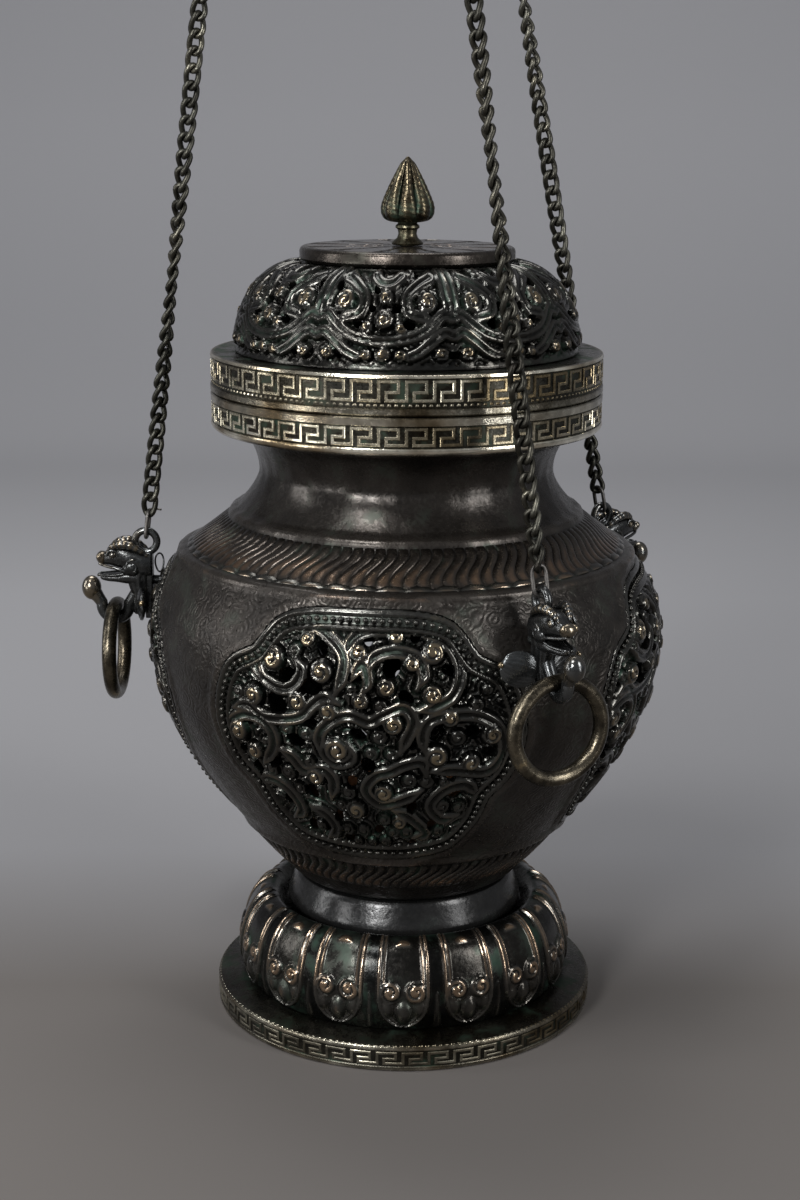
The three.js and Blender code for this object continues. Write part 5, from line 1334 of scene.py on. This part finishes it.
    def finial(self):
        """The lobed bud on its stem, with the stud under it."""
        foot = highest("lid_cap") + 0.3
        bud = foot + 6.4
        tip = highest("finial")
        stud = lowest("finial")
        belly = bud + 4.4
        outline = smooth_line([(2.8, bud), (5.8, bud + 0.5), (7.5, bud + 1.9), (7.9, belly), (7.2, belly + 2.6),
                               (5.6, belly + 6), (3.9, belly + 9.4), (2.3, belly + 12.4), (1.1, tip - 0.9),
                               (0.4, tip - 0.15)], 8)
        stem = [(0, stud), (1.9, stud), (1.9, foot), (4.4, foot), (4.7, foot + 0.5), (4.2, foot + 1.1),
                (3.1, foot + 2), (2.7, foot + 3.2), (2.9, foot + 4.4), (3.6, foot + 5), (3.5, foot + 5.6), (2.9, bud - 0.3)]
        profile = np.vstack([stem, outline, [(0, tip)]])
        around = 128
        turn = np.arange(around) * 2 * math.pi / around
        share = np.clip((profile[:, 1] - bud) / (tip - bud), 0, 1)[:, None]
        groove = np.abs(np.cos(4 * turn))[None, :] ** 0.6
        pits = np.sin(turn * 11 + profile[:, 1:] * 2.3) * np.sin(turn * 5 - profile[:, 1:] * 1.7 + 1)
        swell = np.sin(math.pi * np.clip(share * 1.08, 0, 1)) ** 0.8
        height = ((groove - 1) * 1.5 + 0.12 * pits) * swell
        tone = np.where(share > 0, 0.05 + 0.5 * groove * (0.6 + 0.7 * share) + 0.14 * pits, 0.4)
        piece = turned("finial_bud", profile, around, height, tone)
        dress(piece, "gold", "lid", "openwork_bronze", "finial")


# Rings, chains and fixings


def chain_frame(side):
    """The matrix that carries a chain's own space, Z along it, to its place, with its eyelet at the origin."""
    turn = math.radians(HEAD_AZIMUTHS[side])
    eyelet = np.array([EYELET_RADIUS * math.cos(turn), EYELET_RADIUS * math.sin(turn), EYELET_HEIGHT])
    along = SUSPENSION - eyelet
    along /= np.linalg.norm(along)
    outward = np.array([math.cos(turn), math.sin(turn), 0])
    outward -= along * outward.dot(along)
    outward /= np.linalg.norm(outward)
    sideways = np.cross(along, outward)
    matrix = Matrix.Identity(4)
    for row in range(3):
        matrix[row][0], matrix[row][1], matrix[row][2] = outward[row], sideways[row], along[row]
        matrix[row][3] = eyelet[row] * MM
    return matrix


class BURNER_OT_chains(bpy.types.Operator):
    """Makes the three chains of curb links and their wire hooks"""

    bl_idname = "burner.chains"
    bl_label = "Chains"

    def execute(self, context):
        sizes = context.scene.burner_carving
        links, low, high = 32, 8.25, 166.55
        half = 3.3
        pitch = (high - low - 2 * half) / (links - 1)
        turn = np.linspace(0, 2 * math.pi, 24, endpoint=False)
        for side in HEAD_AZIMUTHS:
            line = np.stack([1.75 * np.sin(turn), np.sin(2 * turn), half * np.cos(turn)], axis=1)
            run = tube("chain_" + side + "_links", line, sizes.link_wire / MM, 10)
            grow(run, run_tree(), Copies=links, Pitch=pitch * MM, Twist=math.radians(7), Material=FINISHES["chain"])
            place = chain_frame(side)
            run.data.transform(place @ Matrix.Translation((0, 0, (low + half) * MM)))
            run.data.shade_smooth()
            dress(run, "chain", "chain_" + side, "chain_brass", "chain_" + side)
            self.hook("chain_hook_" + side, 1.3, place, "chain_" + side, side == "left")
            self.hook("top_hook_" + side, 165.1, place, "chain_" + side, False)
        return {"FINISHED"}

    def hook(self, node, low, place, body, loose_end):
        """A closed hook of iron wire along a chain's line."""
        turn = np.linspace(-math.pi / 2, math.pi * 1.5, 48, endpoint=False)
        middle = np.where(np.sin(turn) > 0, 3.2, -3.2) * np.clip(np.abs(np.sin(turn)) * 4, 0, 1)
        across = 2.6 * np.cos(turn) * (1 - 0.16 * np.cos(turn) ** 2)
        line = np.stack([0 * turn, across, low + 4.2 + middle * 0.5 + 2.6 * np.sin(turn)], axis=1)
        pieces = [tube("wire", line, 0.6, 12)]
        if loose_end:
            end = np.array([(0.3, 0.4, low + 8.6), (-1.2, -0.3, low + 9.1), (-3.6, -0.6, low + 9.0)])
            pieces.append(tube("wire_end", smooth_line(end, 4), 0.32, 8, False))
        wire = joined(node + "_wire", *pieces)
        wire.data.transform(place)
        dress(wire, "iron", body, "iron_fixing", node)


MUZZLE = (
    (-1.7, -3.4, -10.8, 3.6), (0.5, -2.7, -11, 4.1), (3.5, -1.5, -10.2, 4.3), (6.2, -1, -8.9, 4.2),
    (8.6, -1, -8.2, 3.7), (10.6, -1.7, -7.7, 3), (12.2, -2.9, -7.4, 2.3), (13.6, -4.2, -7.1, 1.6), (14.3, -5, -6.6, 0.7),
)
JAW = (
    (1, -9.5, -13.4, 3), (4, -9, -13.4, 3.2), (6.4, -9.1, -13.2, 3.2), (9, -10, -12.8, 2.8), (11.8, -10.2, -12.6, 2.3),
    (13.6, -10.3, -12.2, 1.7), (14.3, -10.8, -11.8, 0.6),
)
THROAT = (
    (-8.5, -1.6, 5, 3.4), (-11, -1.6, 6, 3.3), (-13.5, -1.6, 5.8, 3), (-16.5, -1.5, 4.9, 2.7), (-19, -1.3, 5.1, 2.6),
    (-21, -0.6, 5, 2.4), (-22.8, 1, 4, 1.5),
)
BROW = ((-0.6, 2.9, -3.8), (2.2, 3.5, -1.8), (5.2, 3.6, -0.5), (8, 3.1, -0.5), (10.2, 2.4, -1.6), (11.7, 1.7, -3.3))
UPPER_LIP = ((6, 3.7, -8.9), (8.5, 3.5, -8), (11, 2.8, -7.6), (13.2, 1.8, -7.2), (14.4, 0.9, -6.9))
LOWER_LIP = ((6.4, 3.1, -9.6), (9, 2.8, -10.2), (12, 2.2, -10.4), (14.2, 1.4, -10.4), (14.9, 0.5, -10.7))


def laid_along(name, table, **look):
    """A body along X from rows of (x, top, bottom, half width)."""
    rows = np.array(table)
    flat = np.zeros(len(rows))
    centres = np.stack([rows[:, 0], flat, (rows[:, 1] + rows[:, 2]) / 2], axis=1)
    across = np.stack([flat, rows[:, 3], flat], axis=1)
    through = np.stack([flat, flat, (rows[:, 1] - rows[:, 2]) / 2], axis=1)
    return swept(name, centres, across, through, **look)


def hung_down(name, table, **look):
    """A body down Z from rows of (z, back, front, half width)."""
    rows = np.array(table)
    flat = np.zeros(len(rows))
    centres = np.stack([(rows[:, 1] + rows[:, 2]) / 2, flat, rows[:, 0]], axis=1)
    across = np.stack([flat, rows[:, 3], flat], axis=1)
    through = np.stack([(rows[:, 2] - rows[:, 1]) / 2, flat, flat], axis=1)
    return swept(name, centres, across, through, **look)


class BURNER_OT_heads(bpy.types.Operator):
    """Makes the beast heads and their loose rings"""

    bl_idname = "burner.heads"
    bl_label = "Heads"

    def execute(self, context):
        for side, azimuth in HEAD_AZIMUTHS.items():
            low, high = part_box("ring_" + side)
            centre = np.array((low + high) / 2) / MM
            turn = math.radians(azimuth)
            tangent = np.array([-math.sin(turn), math.cos(turn), 0])
            angle = np.linspace(0, 2 * math.pi, 96, endpoint=False)
            reach = 13.7
            line = centre + reach * (np.cos(angle)[:, None] * tangent + np.sin(angle)[:, None] * np.array([0, 0, 1]))
            wear = 0.5 + 0.35 * np.sin(angle * 2 + 0.6) ** 2
            ring = tube("ring_" + side + "_loop", line, 2.2, 24, tone=wear)
            dress(ring, "ring", "ring_" + side, "ring_brass", "ring_" + side)
            place = Matrix.Rotation(turn, 4, "Z") @ Matrix.Translation(Vector((EYELET_RADIUS, 0, EYELET_HEIGHT)) * MM)
            head = self.head("head_" + side + "_beast", side == "left")
            head.data.transform(place)
            dress(head, "beast", "burner", "dark_bronze", "head_" + side)
        return {"FINISHED"}

    def head(self, name, tied):
        """One beast head in its own space: X outwards from the bowl, Z up, its eyelet at the origin."""
        pieces = [
            laid_along("muzzle", MUZZLE, power=2.6, flutes=(14, 0.05), tone=0.5),
            laid_along("jaw", JAW, power=2.4, tone=0.45),
            hung_down("throat", THROAT, power=2.3, sides=48, flutes=(12, 0.09), tone=0.52),
            ball("nose", (13.6, 0, -5.2), (1.9, 2.6, 2), 0.76),
            self.backbone(),
            *self.pegs(),
            *self.trunk(),
        ]
        turn = np.arange(48) * 2 * math.pi / 48
        pieces.append(tube("eyelet", 3.35 * np.stack([np.cos(turn), 0 * turn, np.sin(turn)], axis=1), 1.15, 16, tone=0.62))
        for side in (-1, 1):
            pieces += self.face(side)
            pieces += self.ear(side)
        if tied:
            loop = np.stack([-4 + 1.3 * np.cos(turn), 0.5 * np.sin(2 * turn), -6.6 + 2.9 * np.sin(turn)], axis=1)
            pieces.append(tube("tie_wire", loop, 0.28, 8, tone=0.3))
        return joined(name, *pieces)

    def face(self, side):
        """The brow crest, eye, lips, cheek and nostril of one side."""
        mirror = np.array([1, side, 1])
        share = np.linspace(0, 1, 5 * 14 + 1)
        ribs = np.cos(share * 9 * 2 * math.pi)
        girth = 0.35 + 0.95 * np.sin(math.pi * np.clip(share, 0.04, 0.96)) ** 0.8 + 0.06 * ribs
        brow = tube("brow", smooth_line(np.array(BROW) * mirror, 14), girth, 14, False, 0.7 + 0.1 * ribs)
        turn = np.linspace(-0.3, math.pi + 0.5, 16)
        lid = np.stack([9.9 + 1.55 * np.cos(turn), np.full(16, 3.5) - 0.03 * turn, -3.7 + 1.35 * np.sin(turn)], axis=1)
        swirl = np.linspace(0.6, 2.6 * math.pi, 26)
        size = 2.1 * swirl / swirl[-1] + 0.25
        curl = np.stack([3.6 + size * np.cos(swirl), 4.0 + 0 * swirl, -7.3 + size * np.sin(swirl)], axis=1)
        return [
            brow,
            ball("eye", (9.9, side * 3.1, -3.8), (1.2, 1.0, 1.1), 0.75, 16),
            tube("eyelid", lid * mirror, 0.42, 8, False, 0.6),
            tube("lip", smooth_line(np.array(UPPER_LIP) * mirror, 5), 0.5, 10, False, 0.65),
            tube("lower_lip", smooth_line(np.array(LOWER_LIP) * mirror, 5), 0.45, 10, False, 0.6),
            ball("cheek", (4.2, side * 3.2, -8), (2.9, 1.3, 2.4), 0.42),
            tube("cheek_curl", curl * mirror, 0.42, 8, False, 0.66),
            ball("nostril", (14.1, side * 1.7, -4.7), (1.1, 1.1, 1.2), 0.8, 14),
        ]

    def ear(self, side):
        """A fluted leaf-shaped ear with a bead at its tip."""
        lean = np.linspace(0.16, math.pi - 0.1, 14)
        middle = np.stack([0 * lean, -side * 5.5 * np.cos(lean), 0 * lean], axis=1)
        height = np.outer(np.sin(lean) ** 0.8, [0, 0, 5.1])
        thick = np.outer(np.sin(lean), [1.35, 0, 0])
        across, through = (height, thick) if side > 0 else (thick, height)
        leaf = swept("ear", middle, across, through, 2, 64, (20, 0.06), 0.6, 2)
        tip = ball("ear_tip", (0.3, side * 5.7, -0.4), (0.9, 0.9, 0.9), 0.9, 12)
        turn = Matrix.Rotation(math.radians(side * 14), 4, "Z") @ Matrix.Rotation(math.radians(side * 20), 4, "X")
        for piece in (leaf, tip):
            piece.data.transform(Matrix.Translation(Vector((0.8, side * 7, -18.2)) * MM) @ turn)
        return [leaf, tip]

    def backbone(self):
        """The bar against the bowl."""
        drop = np.array([-3.3, -3.7, -8, -14, -20, -23.4, -23.8])
        half = np.array([1.9, 2.2, 2.2, 2.2, 2.2, 2.2, 1.9])
        flat = np.zeros(7)
        centres = np.stack([flat - 0.8, flat, drop], axis=1)
        across = np.stack([flat, half, flat], axis=1)
        return swept("backbone", centres, across, np.stack([half * 0.55, flat, flat], axis=1), 7, 40, tone=0.5, steps=2)

    def pegs(self):
        """The two pegs that hold the head to the bowl."""
        made = []
        for level, drop in (("upper", 12.0), ("lower", 20.5)):
            inner = EYELET_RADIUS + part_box("peg_washer_left_" + level)[1].x / MM + 0.9
            line = np.array([(-1.0, 0, -drop), (-inner / 2, 0, -drop), (0.5 - inner, 0, -drop)])
            made.append(tube("peg", line, 1.4, 16, False, 0.3))
        return made

    def trunk(self):
        """The upturned trunk that the loose ring hangs in, and its bulb."""
        pivot = np.array([9.9, 0, -20.2])
        turn = np.radians(np.linspace(-185, 8, 40))
        bend = pivot + 4.2 * np.stack([np.cos(turn), 0 * turn, np.sin(turn)], axis=1)
        root = np.array([[1.2, 0, -14.2], [3.6, 0, -16.6]])
        neck = pivot + np.array([[5.3, 0, 2.3], [6.2, 0, 3.5], [6.8, 0, 4.4]])
        line = np.vstack([root, bend, neck])
        girth = np.concatenate([[2, 1.9], np.full(40, 1.8), [1.95, 2.3, 2.6]])
        worn = np.concatenate([[0.4, 0.45], np.linspace(0.45, 0.62, 40), [0.66, 0.7, 0.74]])
        bulb = ball("bulb", pivot + [7.3, 0, 5.4], (3, 3, 3.8), 0.74, 24)
        return [tube("trunk", line, girth, 18, False, worn), bulb]


class BURNER_OT_fixings(bpy.types.Operator):
    """Finishes the nodes that keep their shape: plates, bolts, nuts, washers, pan, hanger and swivel"""

    bl_idname = "burner.fixings"
    bl_label = "Fixings"

    def execute(self, context):
        for name in ("foot_bolt", "foot_washer", "foot_nut", "finial_nut"):
            paint_node(name, "iron")
        for side in HEAD_AZIMUTHS:
            for level in ("upper", "lower"):
                paint_node("peg_washer_" + side + "_" + level, "iron")
        paint_node("base_plate", "plain")
        self.ash_pan()
        self.hanger()
        return {"FINISHED"}

    def ash_pan(self):
        """The pan with its foot ring."""
        foot, rim = lowest("ash_pan"), highest("ash_pan")
        under = rim - 11
        pan = turned("pan_dish", [
            (0, under), (11.8, under), (11.9, foot + 0.2), (12.1, foot), (13.5, foot), (13.8, foot + 0.3), (13.8, under),
            (28.4, under), (29.2, under + 0.4), (35.9, rim - 0.6), (35.8, rim - 0.1), (35.4, rim), (34.8, rim - 0.1),
            (34.5, rim - 0.5), (28, under + 1.6), (27.4, under + 1.4), (0, under + 1.4)], 128)
        dress(pan, "pan", "ash_pan", "pan_copper", "ash_pan")

    def hanger(self):
        """The hanger's hub and three arms, and the swivel with its ring."""
        curls = [np.array(chain_frame(side) @ Vector((0, 0, 174.8 * MM))) / MM for side in HEAD_AZIMUTHS]
        share = (curls[0][2] - EYELET_HEIGHT) / (SUSPENSION[2] - EYELET_HEIGHT)
        middle = np.array([SUSPENSION[0] * share, SUSPENSION[1] * share, curls[0][2]])
        hub_low, hub_high = 4.8, 9.8
        pieces = [turned("hub", [
            (2.3, hub_low), (4.9, hub_low), (5.6, hub_low + 0.5), (6.4, hub_low + 1.6), (6.5, hub_low + 2.5),
            (6.4, hub_high - 1.6), (5.6, hub_high - 0.5), (4.9, hub_high), (2.3, hub_high)], 64)]
        for curl in curls:
            to_curl = curl - middle
            reach = math.hypot(to_curl[0], to_curl[1])
            bend = np.radians(np.linspace(150, 395, 30))
            eye = np.stack([reach + 3.8 * np.cos(bend), 0 * bend, to_curl[2] + 3.8 * np.sin(bend)], axis=1)
            arm = smooth_line([(4, 0, 7.5), (reach * 0.45, 0, 8.9), (reach * 0.84, 0, 7.3 + to_curl[2]), eye[0]], 10)
            piece = tube("arm", np.vstack([arm, eye[1:]]), 1.6, 16, False)
            piece.data.transform(Matrix.Rotation(math.atan2(to_curl[1], to_curl[0]), 4, "Z"))
            pieces.append(piece)
        hanger = joined("hanger_arms", *pieces)
        hanger.data.transform(Matrix.Translation(Vector(middle) * MM))
        dress(hanger, "plain", "hanger", "dark_bronze", "hanger")
        turn = np.arange(64) * 2 * math.pi / 64
        loop = np.stack([8.6 * np.cos(turn), 0 * turn, hub_high + 2.5 + 8.6 + 8.6 * np.sin(turn)], axis=1)
        pin = turned("swivel_pin", [
            (0, hub_low - 2.1), (3, hub_low - 2.1), (3.6, hub_low - 1.5), (3.6, hub_low - 0.3), (2, hub_low - 0.3),
            (2, hub_high + 0.3), (3.6, hub_high + 0.3), (3.6, hub_high + 1.9), (3, hub_high + 2.5), (2, hub_high + 3.2),
            (0, hub_high + 3.3)], 64)
        swivel = joined("swivel_loop", pin, tube("loop", loop, 1.7, 20))
        swivel.data.transform(Matrix.Translation(Vector(middle) * MM))
        dress(swivel, "ring", "swivel", "ring_brass", "swivel_ring")


# Studio


class BURNER_OT_stage(bpy.types.Operator):
    """Sets up the floor, the backdrop, the softboxes, the world and the camera"""

    bl_idname = "burner.stage"
    bl_label = "Stage"

    def execute(self, context):
        light = context.scene.burner_light
        scene = context.scene
        scene.view_settings.view_transform = "Standard"
        self.backdrop(light)
        self.softbox("key_softbox", (-0.45, -0.85, 0.5), (0.2, 0.28), light.key_power)
        self.softbox("high_softbox", (-0.35, -0.45, 0.95), (0.22, 0.22), light.key_power * 0.55)
        self.softbox("side_softbox", (-0.95, -0.05, 0.4), (0.12, 0.6), light.key_power * 0.3)
        self.softbox("fill_softbox", (0.8, -0.55, 0.6), (0.22, 0.5), light.fill_power)
        self.softbox("low_left_softbox", (-0.7, -0.42, 0.13), (0.12, 0.2), light.low_power)
        self.softbox("low_right_softbox", (0.66, -0.48, 0.13), (0.1, 0.2), light.low_power * 0.8)
        self.softbox("top_softbox", (-0.1, 0.35, 1.1), (0.6, 0.35), light.top_power)
        world = bpy.data.worlds.new("Studio")
        scene.world = world
        world.use_nodes = True
        world.node_tree.nodes["Background"].inputs["Color"].default_value = (0.42, 0.43, 0.45, 1)
        world.node_tree.nodes["Background"].inputs["Strength"].default_value = 0.6
        camera = bpy.data.cameras.new("camera")
        camera.sensor_fit = "VERTICAL"
        camera.sensor_height = 36
        camera.lens = light.lens
        camera.shift_x = -0.0046
        camera.clip_start = 0.01
        viewer = bpy.data.objects.new("camera", camera)
        pitch = Matrix.Rotation(math.radians(90 - 13.889), 4, "X")
        roll = Matrix.Rotation(math.radians(0.319), 4, "Z")
        viewer.matrix_world = Matrix.Translation((0, -0.5927, 0.27502)) @ pitch @ roll
        scene.collection.objects.link(viewer)
        scene.camera = viewer
        return {"FINISHED"}

    def softbox(self, name, place, size, power):
        """A soft rectangular light that faces the burner's middle."""
        lamp = bpy.data.lights.new(name, "AREA")
        lamp.shape = "RECTANGLE"
        lamp.size, lamp.size_y = size
        lamp.energy = power
        box = bpy.data.objects.new(name, lamp)
        away = Vector(place) - Vector((0, 0, 0.14))
        box.matrix_world = Matrix.Translation(place) @ away.to_track_quat("Z", "Y").to_matrix().to_4x4()
        bpy.context.scene.collection.objects.link(box)

    def backdrop(self, light):
        """A floor that curves up into a wall behind, its colour brightening towards the wall as painted light."""
        section = smooth_line([(-2200, 0), (-700, 0), (500, 0), (1100, 20), (1500, 260), (1620, 800), (1640, 2400)], 10)
        rows = len(section)
        points = np.array([(side, y, z) for y, z in section for side in (-2600, 2600)])
        points[:, 2] = np.maximum(points[:, 2], 0)
        index = np.arange(2 * rows).reshape(rows, 2)
        quads = np.stack([index[:-1, 0], index[:-1, 1], index[1:, 1], index[1:, 0]], axis=-1)
        sheet = build_mesh("floor_sweep", points, quads)
        material = bpy.data.materials.new("Floor paper")
        material.use_nodes = True
        tree = material.node_tree
        shader = tree.nodes["Principled BSDF"]
        place = shader_node(tree, "ShaderNodeTexCoord").outputs["Object"]
        back = shader_node(tree, "ShaderNodeSeparateXYZ", {"Vector": place}).outputs["Y"]
        share = span(tree, back, 0.0, 1.5, 0.0, 1.0)
        # The colour steps up from the floor's colour, through two dimmer steps of the wall's colour, to the wall's
        # colour. The dark floor is its own colour; the brightening towards the wall is painted light that makes up for
        # the wall getting less light than the floor.
        near, middle = ([channel * part for channel in light.wall] for part in (0.45, 0.72))
        paper_with_painted_light = ramp(tree, share, [(0.0, light.floor), (0.08, near), (0.35, middle), (1.0, light.wall)])
        tree.links.new(paper_with_painted_light, shader.inputs["Base Color"])
        shader.inputs["Roughness"].default_value = 0.8
        sheet.data.materials.append(material)


class BURNER_PT_panel(bpy.types.Panel):
    """Lists the burner's pieces in the sidebar"""

    bl_idname = "BURNER_PT_panel"
    bl_label = "Incense burner"
    bl_space_type = "VIEW_3D"
    bl_region_type = "UI"
    bl_category = "Burner"

    def draw(self, context):
        for step in STEPS:
            self.layout.operator("burner." + step)


STEPS = ("foot", "bowl", "medallions", "bands", "lid", "heads", "chains", "fixings", "stage")
CLASSES = (
    FinishColours, CarvingSizes, StudioLight, BURNER_OT_foot, BURNER_OT_bowl, BURNER_OT_medallions,
    BURNER_OT_bands, BURNER_OT_lid, BURNER_OT_heads, BURNER_OT_chains, BURNER_OT_fixings, BURNER_OT_stage,
    BURNER_PT_panel,
)


def register():
    """Registers the classes and the scene's settings."""
    for item in CLASSES:
        bpy.utils.register_class(item)
    bpy.types.Scene.burner_colours = bpy.props.PointerProperty(type=FinishColours)
    bpy.types.Scene.burner_carving = bpy.props.PointerProperty(type=CarvingSizes)
    bpy.types.Scene.burner_light = bpy.props.PointerProperty(type=StudioLight)


def unregister():
    """Removes the classes and the scene's settings."""
    del bpy.types.Scene.burner_light
    del bpy.types.Scene.burner_carving
    del bpy.types.Scene.burner_colours
    for item in reversed(CLASSES):
        bpy.utils.unregister_class(item)


def main():
    register()
    colours = bpy.context.scene.burner_colours
    make_finishes(colours)
    for step in STEPS:
        getattr(bpy.ops.burner, step)()


if __name__ == "__main__":
    main()
